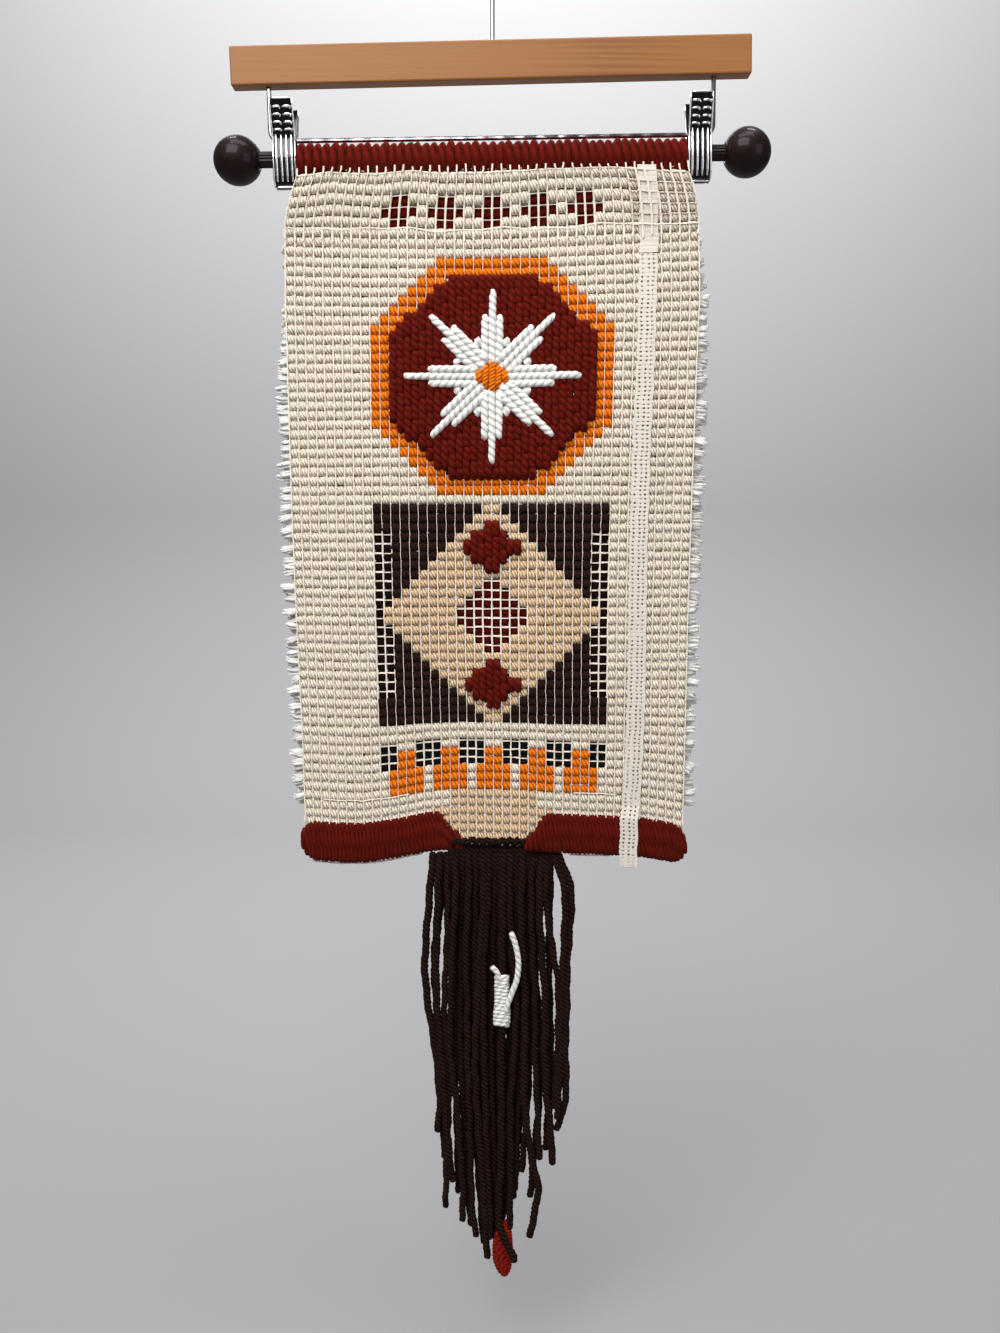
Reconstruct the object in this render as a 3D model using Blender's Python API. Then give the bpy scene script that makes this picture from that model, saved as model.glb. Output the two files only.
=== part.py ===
"""Latch hook wall hanging on a dark turned rod, held up by a wooden clip hanger.

Metres, +Z up. The origin is where the hook sits on a rail: the inner top of its bend.
X runs across the hanging. The face that is looked at is the canvas side and faces -Y,
and the cut pile is on the +Y side. Heights named *_Z are measured from the origin, and
heights called "level" are measured from the rod's axis, upwards.
"""

import math

import bmesh
import bpy
from mathutils import Matrix, Vector

GAP = 0.0003

# Hanger: hook, wooden bar, trouser wire and two spring clips.
HOOK_WIRE_RADIUS = 0.0019
HOOK_BEND_RADIUS = 0.021
HOOK_NECK_HEIGHT = 0.0325
HOOK_TIP_ANGLE = math.radians(212)
HOOK_DEPTH_IN_BAR = 0.018
BAR_LENGTH = 0.367
BAR_HEIGHT = 0.0265
BAR_THICKNESS = 0.0130
BAR_EDGE_ROUNDING = 0.0012
BAR_OWN_TILT = math.radians(0.45)
WIRE_RADIUS = 0.0017
WIRE_LEG_X = 0.1577
WIRE_BEND_RADIUS = 0.0070
WIRE_DEPTH_IN_BAR = 0.011
CLIP_X = 0.1474
CLIP_WIDTH = 0.0158
CLIP_SHEET = 0.0010
SPRING_X = 0.1466
SPRING_LENGTH = 0.0080
SPRING_RADIUS = 0.0047
HANGER_TILT = math.radians(0.85)

# Rod and its ball finials.
ROD_RADIUS = 0.0056
ROD_FLUTES = 16
ROD_FLUTE_DEPTH = 0.0005
FINIAL_RADIUS = 0.01725
FINIAL_X = 0.1817
FINIAL_NECK = 0.0155
FINIAL_BORE_DEPTH = 0.0120

# Levels above the rod's axis, and where that axis lies.
BAR_LEVEL = 0.0632
WIRE_LEVEL = 0.0125
HOOK_RISE_OVER_BAR = 0.0811
ROD_Z = -(HOOK_RISE_OVER_BAR + BAR_LEVEL + BAR_HEIGHT / 2)

# Canvas: one sheet, turned over the rod at the top and up over itself at the bottom.
CANVAS_SHEET = 0.0014
LAYER_OFFSET = 0.0010
CASING_RADIUS = ROD_RADIUS + GAP + CANVAS_SHEET / 2
CASING_CLOSES_LEVEL = -0.024
TOP_FLAP_LEVEL = -0.060
BOTTOM_FLAP_LEVEL = -0.466
FOLD_LEVEL = -0.511

# Every hanging sheet is divided along the same upright and level lines, so that
# neighbouring sheets bend together. Places across the cloth are given as a share of its
# half width, from -1 at the left edge to 1 at the right edge.
COLUMNS = 16
COLUMN_LINES = [2 * i / COLUMNS - 1 for i in range(COLUMNS + 1)]
TOP_LEVELS = [-0.024, -0.031, -0.042, -0.060, -0.081, -0.105]
BOTTOM_LEVELS = [-0.4828, -0.4969]
LEVEL_LINES = TOP_LEVELS + [-0.135 - 0.0331 * i for i in range(11)] + BOTTOM_LEVELS

# Left and right edge of the canvas, by level below the rod.
CANVAS_EDGES = (
    # level, left_x, right_x
    (0.0100, -0.1370, 0.1372),
    (-0.0245, -0.1372, 0.1374),
    (-0.0310, -0.1455, 0.1455),
    (-0.0450, -0.1485, 0.1480),
    (-0.1000, -0.1500, 0.1505),
    (-0.1700, -0.1495, 0.1490),
    (-0.2450, -0.1490, 0.1475),
    (-0.3300, -0.1475, 0.1465),
    (-0.4250, -0.1450, 0.1462),
    (-0.5200, -0.1440, 0.1455),
)

# How far the bottom hem hangs above or below its mean level, from left to right.
HEM_LINE = (
    # x, rise
    (-0.150, -0.0040),
    (-0.100, -0.0042),
    (-0.075, -0.0010),
    (-0.050, 0.0035),
    (-0.025, 0.0055),
    (0.025, 0.0055),
    (0.050, 0.0030),
    (0.085, 0.0008),
    (0.115, -0.0010),
    (0.150, -0.0070),
)

# Soft folds of the hanging cloth: upright ripples that lean a little, edges that curl
# back, a belly towards the viewer and a sag between the ends of the rod. The ripples and
# the curl grow from nothing at the first of the two levels to their full depth at the
# second one.
RIPPLE_DEPTH = 0.0022
RIPPLE_LENGTH = 0.130
RIPPLE_PHASE = 0.6
RIPPLE_LEAN = 5.0
FOLDS_GROW = (-0.022, -0.140)
EDGE_CURL = 0.13
EDGE_CURL_STARTS = 0.115
BELLY = 0.0035
CLOTH_HEIGHT = 0.530
TOP_SAG = 0.0035
SAG_HALF_WIDTH = 0.140
SAG_GROWS = (-0.015, -0.050)
SAG_FADES = (-0.060, -0.220)
TILT_FADES = (-0.030, -0.300)
HEM_LINE_GROWS = (-0.360, -0.490)

# Yarn worked over the canvas edges, and the cut pile behind it. The casing's sides slant,
# so what lies on them is a little further off when measured level.
HEADER_YARN = 0.0024
HEADER_SLANT = 1.12
HEADER_FRONT_LEVEL = -0.0125
HEM_YARN = 0.0034
HEM_LIFT = LAYER_OFFSET + CANVAS_SHEET / 2 + 1.5 * GAP
HEM_TOP_LEVEL = -0.4828
HEM_TIP_LEVEL = -0.5040
HEM_OUTER = 1.032
HEM_TAPER = 0.290
HEM_TIP = 0.170
HEM_END_ROUNDING = 0.027
HEM_STEPS = (0.195, 0.222, 0.275)
PILE_DEPTH = 0.0190
PILE_TOP_LEVEL = -0.0260
PILE_BOTTOM_LEVEL = -0.4790
PILE_OVERHANG = 1.042
PILE_ROUNDING = 0.0060

# Side hems, turned to the front and lying on the back layer. The right-hand one ends in
# the canvas's woven selvage, which runs on over the bottom hem.
HEM_TOP = -0.0625
HEM_BOTTOM = -0.4620
HEM_SHEET = 0.0012
HEM_Y = 0.0002
LEFT_HEM_EDGE = -0.640
HEM_INSET = 0.004
SELVAGE_WIDTH = 0.0135
SELVAGE_LINE = (
    # level, centre_x, y
    (-0.0625, 0.1030, 0.0002),
    (-0.1500, 0.1080, 0.0002),
    (-0.2450, 0.1105, 0.0002),
    (-0.3500, 0.1080, 0.0002),
    (-0.4450, 0.1050, 0.0002),
    (-0.4600, 0.1048, -0.0029),
    (-0.4740, 0.1045, -0.0030),
    (-0.4820, 0.1043, -0.0066),
    (-0.5210, 0.1040, -0.0066),
)

# Fringe: a comb of yarn strands under the middle of the bottom hem.
STRAND_RADIUS = 0.0029
STRAND_STEPS = 8
FRINGE_LEFT = -0.357
FRINGE_RIGHT = 0.410
FRINGE_DROPS_FROM = 2 / COLUMNS
FRINGE_DROPS_TO = HEM_TIP - 0.009
FRINGE_HEAD_HEIGHT = 0.0085
FRINGE_HEAD_HALF_DEPTH = 0.0062
FRINGE_ROWS = (
    # y, strands, first_x, last_x, outer_level, middle_level
    (-0.0034, 9, -0.0470, 0.0565, -0.735, -0.826),
    (0.0034, 8, -0.0405, 0.0500, -0.752, -0.846),
)
FRINGE_GATHER = 0.88
FRINGE_SWAY = 0.0016
FRINGE_WAVES = 1.3
TIED_STRAND = (0, 4)
TUFT_STRAND = (0, 4)
TIE_TOP_LEVEL = -0.614
TIE_BOTTOM_LEVEL = -0.657
TIE_RADIUS = 0.0053
TIE_YARN_RADIUS = 0.0020
TUFT_LENGTH = 0.040
TUFT_RADIUS = 0.0044


def smooth(value, start, end):
    """0 at start and before it, 1 at end and past it, and a smooth step between them."""
    t = min(1.0, max(0.0, (value - start) / (end - start)))
    return t * t * (3 - 2 * t)


def along(table, value, column):
    """A column of a table whose first column rises or falls steadily, interpolated."""
    rows = sorted(table)
    if value <= rows[0][0]:
        return rows[0][column]
    for low, high in zip(rows, rows[1:]):
        if value <= high[0]:
            share = (value - low[0]) / (high[0] - low[0])
            return low[column] + share * (high[column] - low[column])
    return rows[-1][column]


def canvas_edges(level):
    return along(CANVAS_EDGES, level, 1), along(CANVAS_EDGES, level, 2)


def share_to_x(share, level):
    left, right = canvas_edges(level)
    return (left + right) / 2 + share * (right - left) / 2


def x_to_share(x, level):
    left, right = canvas_edges(level)
    return (2 * x - left - right) / (right - left)


def swing(x, level):
    """How far the hanging cloth swings away from its flat plane: soft ripples, a belly
    and edges that curl back. Nothing at the rod."""
    angle = math.tau * x / RIPPLE_LENGTH + RIPPLE_PHASE - RIPPLE_LEAN * level
    ripple = RIPPLE_DEPTH * math.sin(angle)
    curl = EDGE_CURL * max(0.0, abs(x) - EDGE_CURL_STARTS)
    belly = -BELLY * math.sin(math.pi * min(1.0, max(0.0, -level / CLOTH_HEIGHT)))
    return (ripple + curl + belly) * smooth(level, *FOLDS_GROW)


def rise(x, level):
    """How far a point of the cloth lies above its nominal level: it follows the tilted
    rod at the top, sags between the rod's ends and bows along the bottom hem."""
    tilt = x * math.tan(HANGER_TILT) * (1 - smooth(level, *TILT_FADES))
    sag = -TOP_SAG * (1 - (x / SAG_HALF_WIDTH) ** 2) * smooth(level, *SAG_GROWS)
    sag *= 1 - smooth(level, *SAG_FADES)
    hem = along(HEM_LINE, x, 1) * smooth(level, *HEM_LINE_GROWS)
    return tilt + sag + hem


def hung(share, y, level):
    """A point of the cloth, given flat, where it hangs. The cloth is straight between
    the column lines and on past the outer ones."""
    column = min(COLUMNS - 1, max(0, math.floor((share + 1) / 2 * COLUMNS)))
    part = (share - COLUMN_LINES[column]) / 2 * COLUMNS
    ends = []
    for line in COLUMN_LINES[column:column + 2]:
        x = share_to_x(line, level)
        ends.append(Vector((x, y + swing(x, level), ROD_Z + level + rise(x, level))))
    return ends[0].lerp(ends[1], part)


def material(name, colour, roughness, metallic=0.0):
    made = bpy.data.materials.new(name)
    made.use_nodes = True
    shader = made.node_tree.nodes["Principled BSDF"]
    shader.inputs["Base Color"].default_value = (*colour, 1.0)
    shader.inputs["Roughness"].default_value = roughness
    shader.inputs["Metallic"].default_value = metallic
    return made


def new_object(name, data, finish=None):
    made = bpy.data.objects.new(name, data)
    bpy.context.scene.collection.objects.link(made)
    if finish:
        data.materials.append(finish)
    return made


def from_bmesh(name, shape, finish=None, smooth_angle=35.0):
    data = bpy.data.meshes.new(name)
    shape.to_mesh(data)
    shape.free()
    data.shade_smooth()
    data.set_sharp_from_angle(angle=math.radians(smooth_angle))
    return new_object(name, data, finish)


def helper(made):
    """Marks an object as a cutter or guide, which isn't part of the model."""
    made.hide_render = True
    made.display_type = "WIRE"
    return made


def add_solidify(made, thickness, offset):
    thicken = made.modifiers.new("thickness", "SOLIDIFY")
    thicken.thickness = thickness
    thicken.offset = offset
    thicken.use_even_offset = True
    return thicken


def add_boolean(made, other, operation):
    cut = made.modifiers.new(operation.lower(), "BOOLEAN")
    cut.operation = operation
    cut.object = other
    return cut


def sheet(name, columns, rows, place, thickness, finish, offset=0.0, leave_out=None):
    """A sheet with its corners on that many columns and rows. place(column, row) puts
    each corner. The thickness lies on both sides of them, or on one side if offset is
    -1 or 1. leave_out(column, row) tells which faces aren't there."""
    shape = bmesh.new()
    bmesh.ops.create_grid(shape, x_segments=columns - 1, y_segments=rows - 1, size=0.5)

    def grid_place(point):
        return (point.x + 0.5) * (columns - 1), (0.5 - point.y) * (rows - 1)

    if leave_out:
        unwanted = [face for face in shape.faces
                    if leave_out(*grid_place(face.calc_center_median()))]
        bmesh.ops.delete(shape, geom=unwanted, context="FACES")
    bmesh.ops.triangulate(shape, faces=shape.faces[:], quad_method="FIXED")
    for vert in shape.verts:
        column, row = grid_place(vert.co)
        vert.co = place(round(column), round(row))
    made = from_bmesh(name, shape, finish, smooth_angle=50.0)
    add_solidify(made, thickness, offset)
    return made


def between(lines, start, end, clear=0.002):
    """start, then the lines well between start and end, then end."""
    low, high = min(start, end) + clear, max(start, end) - clear
    inner = sorted((line for line in lines if low < line < high), reverse=end < start)
    return [start, *inner, end]


def hung_sheet(name, section, left, right, thickness, finish, offset=0.0):
    """A hanging sheet between two shares of the width, with that section, as (y, level)
    points."""
    columns = between(COLUMN_LINES, left, right)

    def place(column, row):
        return hung(columns[column], *section[row])

    return sheet(name, len(columns), len(section), place, thickness, finish, offset)


def tube(name, points, radius, finish, sides_level=3):
    """A round wire or strand through the points."""
    data = bpy.data.curves.new(name, "CURVE")
    data.dimensions = "3D"
    data.bevel_depth = radius
    data.bevel_resolution = sides_level
    data.use_fill_caps = True
    line = data.splines.new("POLY")
    line.points.add(len(points) - 1)
    for point, place in zip(line.points, points):
        point.co = (*place, 1.0)
    return new_object(name, data, finish)


def turned(name, profile, finish, steps=24):
    """A solid turned about the X axis from (x, radius) points that start and end on it."""
    shape = bmesh.new()
    verts = [shape.verts.new((x, 0.0, radius)) for x, radius in profile]
    edges = [shape.edges.new(pair) for pair in zip(verts, verts[1:])]
    bmesh.ops.spin(
        shape,
        geom=verts + edges,
        cent=(0, 0, 0),
        axis=(1, 0, 0),
        angle=math.tau,
        steps=steps,
        use_merge=True,
    )
    bmesh.ops.remove_doubles(shape, verts=shape.verts[:], dist=0.00002)
    bmesh.ops.recalc_face_normals(shape, faces=shape.faces[:])
    return from_bmesh(name, shape, finish)


def arc(centre, radius, start, end, steps):
    """Points of an arc in the XZ plane, angles from +X towards +Z."""
    turn = (end - start) / steps
    return [
        Vector((centre[0] + radius * math.cos(start + turn * i), 0.0,
                centre[1] + radius * math.sin(start + turn * i)))
        for i in range(steps + 1)
    ]


def drill(name, x, z_low, z_high, radius):
    """A vertical cutter for a hole."""
    shape = bmesh.new()
    bmesh.ops.create_cone(
        shape, cap_ends=True, segments=20, radius1=radius, radius2=radius,
        depth=z_high - z_low,
    )
    bmesh.ops.translate(shape, vec=(x, 0, (z_low + z_high) / 2), verts=shape.verts[:])
    return helper(from_bmesh(name, shape))


def hanger_frame():
    """The empty that carries the tilted hanger: it turns about the rod's middle."""
    frame = bpy.data.objects.new("hanger_frame", None)
    bpy.context.scene.collection.objects.link(frame)
    frame.location = (0, 0, ROD_Z)
    frame.rotation_euler = (0, -HANGER_TILT, 0)
    return frame


def make_bar(frame, wood):
    shape = bmesh.new()
    bmesh.ops.create_cube(shape, size=1.0)
    bmesh.ops.scale(shape, vec=(BAR_LENGTH, BAR_THICKNESS, BAR_HEIGHT), verts=shape.verts[:])
    bmesh.ops.bevel(
        shape, geom=shape.edges[:], offset=BAR_EDGE_ROUNDING, segments=2, profile=0.5,
        affect="EDGES",
    )
    bar = from_bmesh("hanger_bar", shape, wood)
    bar.parent = frame
    bar.location = (0, 0, BAR_LEVEL)
    bar.rotation_euler = (0, -BAR_OWN_TILT, 0)
    bar_top = ROD_Z + BAR_LEVEL + BAR_HEIGHT / 2
    hook_hole = drill(
        "hook_hole", 0.0, bar_top - HOOK_DEPTH_IN_BAR - GAP, bar_top + 0.010,
        HOOK_WIRE_RADIUS + GAP,
    )
    add_boolean(bar, hook_hole, "DIFFERENCE")
    bar_bottom = BAR_LEVEL - BAR_HEIGHT / 2
    for side, x in (("left", -WIRE_LEG_X), ("right", WIRE_LEG_X)):
        leg_hole = drill(
            "leg_hole_" + side, x, bar_bottom - 0.010, bar_bottom + WIRE_DEPTH_IN_BAR + GAP,
            WIRE_RADIUS + GAP,
        )
        leg_hole.parent = frame
        add_boolean(bar, leg_hole, "DIFFERENCE")
    return bar


def make_hook(metal):
    """A plain hook: straight shank, a swan neck to one side and a round bend."""
    centre_z = HOOK_WIRE_RADIUS - HOOK_BEND_RADIUS
    shank_foot = ROD_Z + BAR_LEVEL + BAR_HEIGHT / 2 - HOOK_DEPTH_IN_BAR
    neck_foot = centre_z - HOOK_NECK_HEIGHT
    points = [Vector((0, 0, shank_foot)), Vector((0, 0, neck_foot))]
    neck_steps = 8
    for i in range(1, neck_steps):
        t = i / neck_steps
        points.append(Vector((
            HOOK_BEND_RADIUS * smooth(t, 0, 1), 0, neck_foot + t * (centre_z - neck_foot))))
    points += arc((0.0, centre_z), HOOK_BEND_RADIUS, 0.0, HOOK_TIP_ANGLE, 18)
    return tube("hanger_hook", points, HOOK_WIRE_RADIUS, metal)


def make_trouser_wire(frame, metal):
    """A U of wire under the bar, on which the clips slide."""
    bend_x = WIRE_LEG_X - WIRE_BEND_RADIUS
    bend_z = WIRE_LEVEL + WIRE_BEND_RADIUS
    leg_top = BAR_LEVEL - BAR_HEIGHT / 2 + WIRE_DEPTH_IN_BAR
    right = arc((bend_x, bend_z), WIRE_BEND_RADIUS, -math.pi / 2, 0.0, 6)
    right.append(Vector((WIRE_LEG_X, 0, leg_top)))
    left = [Vector((-p.x, 0, p.z)) for p in reversed(right)]
    wire = tube("trouser_wire", left + right, WIRE_RADIUS, metal)
    wire.parent = frame
    return wire


# One jaw of a clip, from its thumb end down to its lip: distance from the clip's middle
# plane, height above the wire, and how far its side flanges reach inwards.
JAW_LINE = (
    # offset, height, flange
    (0.0135, 0.0245, 0.0022),
    (0.0105, 0.0150, 0.0022),
    (0.0075, 0.0060, 0.0022),
    (0.0055, 0.0005, 0.0020),
    (0.0056, -0.0030, 0.0012),
    (0.0062, -0.0070, 0.0),
    (0.0064, -0.0125, 0.0),
    (0.0062, -0.0190, 0.0),
    (0.0058, -0.0245, 0.0018),
    (0.0040, -0.0302, 0.0018),
    (0.0024, -0.0322, 0.0008),
)


def make_jaw(frame, name, x, side, metal):
    """A stamped jaw: a channel whose two flanges point at the other jaw. side is -1 for
    the jaw that faces the viewer and 1 for the one behind."""
    half = (CLIP_WIDTH - CLIP_SHEET) / 2
    across = (-half, 0.0012 - half, -half / 2, 0.0, half / 2, half - 0.0012, half)

    def place(column, row):
        offset, height, flange = JAW_LINE[row]
        if 0 < column < len(across) - 1:
            flange = 0.0
        return Vector((x + across[column], side * (offset - flange), WIRE_LEVEL + height))

    jaw = sheet(name, len(across), len(JAW_LINE), place, CLIP_SHEET, metal)
    jaw.parent = frame
    return jaw


def make_spring(frame, name, x, metal):
    """The coiled spring of a clip, as a sleeve round the wire."""
    bore, outer, half = WIRE_RADIUS + GAP, SPRING_RADIUS, SPRING_LENGTH / 2
    profile = ((-half, bore), (-half, outer), (half, outer), (half, bore), (-half, bore))
    spring = turned(name, profile, metal, steps=16)
    spring.parent = frame
    spring.location = (x, 0, WIRE_LEVEL)
    return spring


def make_rod(frame, wood):
    """A reeded dowel whose ends sit in the finials."""
    half = FINIAL_X - FINIAL_NECK + FINIAL_BORE_DEPTH - GAP
    shape = bmesh.new()
    bmesh.ops.create_cone(
        shape, cap_ends=True, segments=2 * ROD_FLUTES, radius1=ROD_RADIUS,
        radius2=ROD_RADIUS, depth=2 * half,
    )
    for vert in shape.verts:
        step = round(math.atan2(vert.co.y, vert.co.x) / math.tau * 2 * ROD_FLUTES)
        if step % 2:
            vert.co.xy *= 1 - ROD_FLUTE_DEPTH / ROD_RADIUS
    bmesh.ops.rotate(shape, matrix=Matrix.Rotation(math.pi / 2, 3, "Y"), verts=shape.verts[:])
    rod = from_bmesh("rod", shape, wood, smooth_angle=10.0)
    rod.parent = frame
    return rod


def make_finial(frame, name, side, wood):
    """A ball with a flat neck and a blind bore for the rod's end."""
    bore = ROD_RADIUS + GAP
    neck_radius = math.sqrt(FINIAL_RADIUS**2 - FINIAL_NECK**2)
    start = math.atan2(neck_radius, -FINIAL_NECK)
    steps = 13
    profile = [(-FINIAL_NECK + FINIAL_BORE_DEPTH, 0.0),
               (-FINIAL_NECK + FINIAL_BORE_DEPTH, bore),
               (-FINIAL_NECK, bore)]
    for i in range(steps):
        angle = start * (1 - i / steps)
        profile.append((FINIAL_RADIUS * math.cos(angle), FINIAL_RADIUS * math.sin(angle)))
    profile.append((FINIAL_RADIUS, 0.0))
    finial = turned(name, profile, wood)
    finial.parent = frame
    finial.location = (side * FINIAL_X, 0, 0)
    if side < 0:
        finial.rotation_euler = (0, 0, math.pi)
    return finial


def canvas_section():
    """The canvas seen end on, as (y, level): up the front of the bottom flap, round the
    fold, up the back layer, over the rod and down the front as the top flap."""
    fold_start = FOLD_LEVEL + LAYER_OFFSET
    front_up = [(-LAYER_OFFSET, level)
                for level in between(LEVEL_LINES, BOTTOM_FLAP_LEVEL, fold_start)]
    fold = [(-LAYER_OFFSET * math.cos(a), FOLD_LEVEL + LAYER_OFFSET * (1 - math.sin(a)))
            for a in (math.pi * 0.25, math.pi * 0.5, math.pi * 0.75)]
    back = [(LAYER_OFFSET, level)
            for level in between(LEVEL_LINES, fold_start, CASING_CLOSES_LEVEL)]
    flare_rows = 4
    flare = []
    for i in range(1, flare_rows + 1):
        level = CASING_CLOSES_LEVEL * (1 - i / flare_rows)
        flare.append((casing_side(level), level))
    front_flare = [(-y, level) for y, level in reversed(flare)]
    flap = [(-LAYER_OFFSET, level)
            for level in between(LEVEL_LINES, CASING_CLOSES_LEVEL, TOP_FLAP_LEVEL)]
    return front_up + fold + back + flare + over_rod(CASING_RADIUS) + front_flare + flap


def casing_side(level):
    """How far the canvas stands off the middle where it closes in under the rod."""
    spread = smooth(level, CASING_CLOSES_LEVEL, 0.0)
    return LAYER_OFFSET + (CASING_RADIUS - LAYER_OFFSET) * spread


def over_rod(radius):
    """Points over the top of the rod, from back to front, without the two ends."""
    steps = 8
    return [(radius * math.cos(math.pi * i / steps), radius * math.sin(math.pi * i / steps))
            for i in range(1, steps)]


def join(made, other):
    """Makes two shapes one body."""
    add_boolean(made, helper(other), "UNION")


def make_canvas(finish):
    """The whole canvas, with its two side hems."""
    canvas = hung_sheet("canvas", canvas_section(), -1, 1, CANVAS_SHEET, finish)
    levels = between(LEVEL_LINES, HEM_BOTTOM, HEM_TOP)
    hem_section = [(HEM_Y, level) for level in levels]
    join(canvas, hung_sheet("left_hem", hem_section, HEM_INSET - 1, LEFT_HEM_EDGE,
                            HEM_SHEET, finish))
    join(canvas, right_hem(finish))
    return canvas


def right_hem(finish):
    """The right-hand hem. Its selvage band runs on alone over the bottom hem."""
    ends = [row[0] for row in SELVAGE_LINE if row[0] < -0.440]
    levels = ends[::-1] + between(LEVEL_LINES, ends[0], HEM_TOP)[1:]
    outer = [COLUMN_LINES[-2], 1 - HEM_INSET]

    def place(column, row):
        level = levels[row]
        middle, y = along(SELVAGE_LINE, level, 1), along(SELVAGE_LINE, level, 2)
        band = [x_to_share(middle + side * SELVAGE_WIDTH / 2, level) for side in (-1, 0, 1)]
        return hung((band + outer)[column], y, level)

    def beside_the_band(column, row):
        return column > 2 and levels[math.floor(row)] < HEM_BOTTOM

    return sheet("right_hem", 3 + len(outer), len(levels), place, HEM_SHEET, finish,
                 leave_out=beside_the_band)


def make_header_wrap(finish):
    """Yarn overcast round the rod's casing, as a saddle over it."""
    shift = CANVAS_SHEET / 2 + GAP
    leg = [(casing_side(level) + shift * HEADER_SLANT, level)
           for level in (HEADER_FRONT_LEVEL, HEADER_FRONT_LEVEL / 2)]
    crown = CASING_RADIUS + shift
    section = leg + [(crown, 0.0)] + over_rod(crown) + [(-crown, 0.0)]
    section += [(-y, level) for y, level in reversed(leg)]
    return hung_sheet("header_wrap", section, -1, 1, HEADER_YARN, finish, offset=1)


def make_hem_wrap(name, side, finish):
    """Yarn overcast round the bottom hem on one side of the fringe, as a trough with a
    rounded outer end."""
    leg_parts, under_steps = (0.0, 0.33, 0.67), 4
    lines = COLUMN_LINES + [side * share for share in HEM_STEPS]
    columns = between(lines, *sorted((side * HEM_OUTER, side * HEM_TIP)))

    def section(top_level):
        leg = [(-HEM_LIFT, top_level + (FOLD_LEVEL - top_level) * part) for part in leg_parts]
        under = []
        for i in range(under_steps + 1):
            angle = math.pi * i / under_steps
            drop = (HEM_LIFT - LAYER_OFFSET) * math.sin(angle)
            round_fold = LAYER_OFFSET * (1 - math.sin(angle))
            under.append((-HEM_LIFT * math.cos(angle), FOLD_LEVEL - drop + round_fold))
        return leg + under + [(-y, level) for y, level in reversed(leg)]

    rows = len(section(HEM_TOP_LEVEL))
    middle, half = (HEM_TOP_LEVEL + FOLD_LEVEL) / 2, (HEM_TOP_LEVEL - FOLD_LEVEL) / 2

    def place(column, row):
        share = columns[column]
        taper = smooth(-abs(share), -HEM_TAPER, -HEM_TIP)
        top_level = HEM_TOP_LEVEL + (HEM_TIP_LEVEL - HEM_TOP_LEVEL) * taper
        y, level = section(top_level)[row]
        if abs(share) == HEM_OUTER:
            corner = min(1.0, abs(level - middle) / half)
            share -= side * HEM_END_ROUNDING * corner**2
        return hung(share, y, level)

    return sheet(name, len(columns), rows, place, HEM_YARN, finish, offset=1)


def make_pile(finish):
    """The cut pile as one soft slab behind the canvas, a little wider than it."""
    y = LAYER_OFFSET + CANVAS_SHEET / 2 + GAP
    section = [(y, level) for level in between(LEVEL_LINES, PILE_BOTTOM_LEVEL, PILE_TOP_LEVEL)]
    pile = hung_sheet("pile", section, -PILE_OVERHANG, PILE_OVERHANG, PILE_DEPTH, finish,
                      offset=1)
    soften = pile.modifiers.new("rounded edges", "BEVEL")
    soften.width = PILE_ROUNDING
    soften.segments = 2
    soften.limit_method = "ANGLE"
    soften.angle_limit = math.radians(60)
    return pile


def fringe_top(share):
    """The underside of what the fringe is knotted to: bare hem in the middle, yarn
    beside it."""
    bare = CANVAS_SHEET / 2
    wrapped = HEM_LIFT - LAYER_OFFSET + HEM_YARN + 0.8 * GAP
    part = smooth(abs(share), FRINGE_DROPS_FROM, FRINGE_DROPS_TO)
    return FOLD_LEVEL - bare - (wrapped - bare) * part - 1.4 * GAP


def strand_path(x, y, end_level):
    """A strand's centre line, from inside the fringe's head to its cut end."""
    share = x_to_share(x, FOLD_LEVEL)
    start = hung(share, y, fringe_top(share) - FRINGE_HEAD_HEIGHT / 2)
    points = []
    for i in range(STRAND_STEPS + 1):
        t = i / STRAND_STEPS
        narrowing = x * (1 - FRINGE_GATHER) * t * t
        sway = FRINGE_SWAY * math.sin(math.tau * FRINGE_WAVES * t)
        z = start.z + (ROD_Z + end_level - start.z) * t
        points.append(Vector((start.x - narrowing + sway, start.y * (1 - 0.1 * t), z)))
    return points


def strands():
    """The path of every strand of the comb, by its row and its place in the row."""
    paths = {}
    for row, (y, count, first_x, last_x, outer_level, middle_level) in enumerate(FRINGE_ROWS):
        for i in range(count):
            share = i / (count - 1)
            x = first_x + share * (last_x - first_x)
            point_of_v = 1 - abs(2 * share - 1) ** 1.2
            end = outer_level + (middle_level - outer_level) * point_of_v
            paths[row, i] = strand_path(x, y, end)
    return paths


def make_fringe(finish):
    """A head along the hem and its strands, joined into one comb."""
    lines = COLUMN_LINES + [-FRINGE_DROPS_TO, FRINGE_DROPS_TO]
    columns = between(lines, FRINGE_LEFT, FRINGE_RIGHT)

    def place(column, row):
        share = columns[column]
        return hung(share, (1 - row) * FRINGE_HEAD_HALF_DEPTH, fringe_top(share))

    fringe = sheet("fringe", len(columns), 3, place, FRINGE_HEAD_HEIGHT, finish, offset=-1)
    whole = bmesh.new()
    for path in strands().values():
        guide = tube("strand_guide", path, STRAND_RADIUS, None, sides_level=1)
        strand = bpy.data.meshes.new_from_object(guide)
        whole.from_mesh(strand)
        bpy.data.objects.remove(guide)
    bmesh.ops.remove_doubles(whole, verts=whole.verts[:], dist=0.00001)
    bmesh.ops.recalc_face_normals(whole, faces=whole.faces[:])
    join(fringe, from_bmesh("strand_shapes", whole))
    return fringe


def path_at(path, z):
    """The point of a path at that height."""
    for high, low in zip(path, path[1:]):
        if low.z <= z <= high.z:
            return high.lerp(low, (high.z - z) / (high.z - low.z))
    return path[-1]


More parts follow.
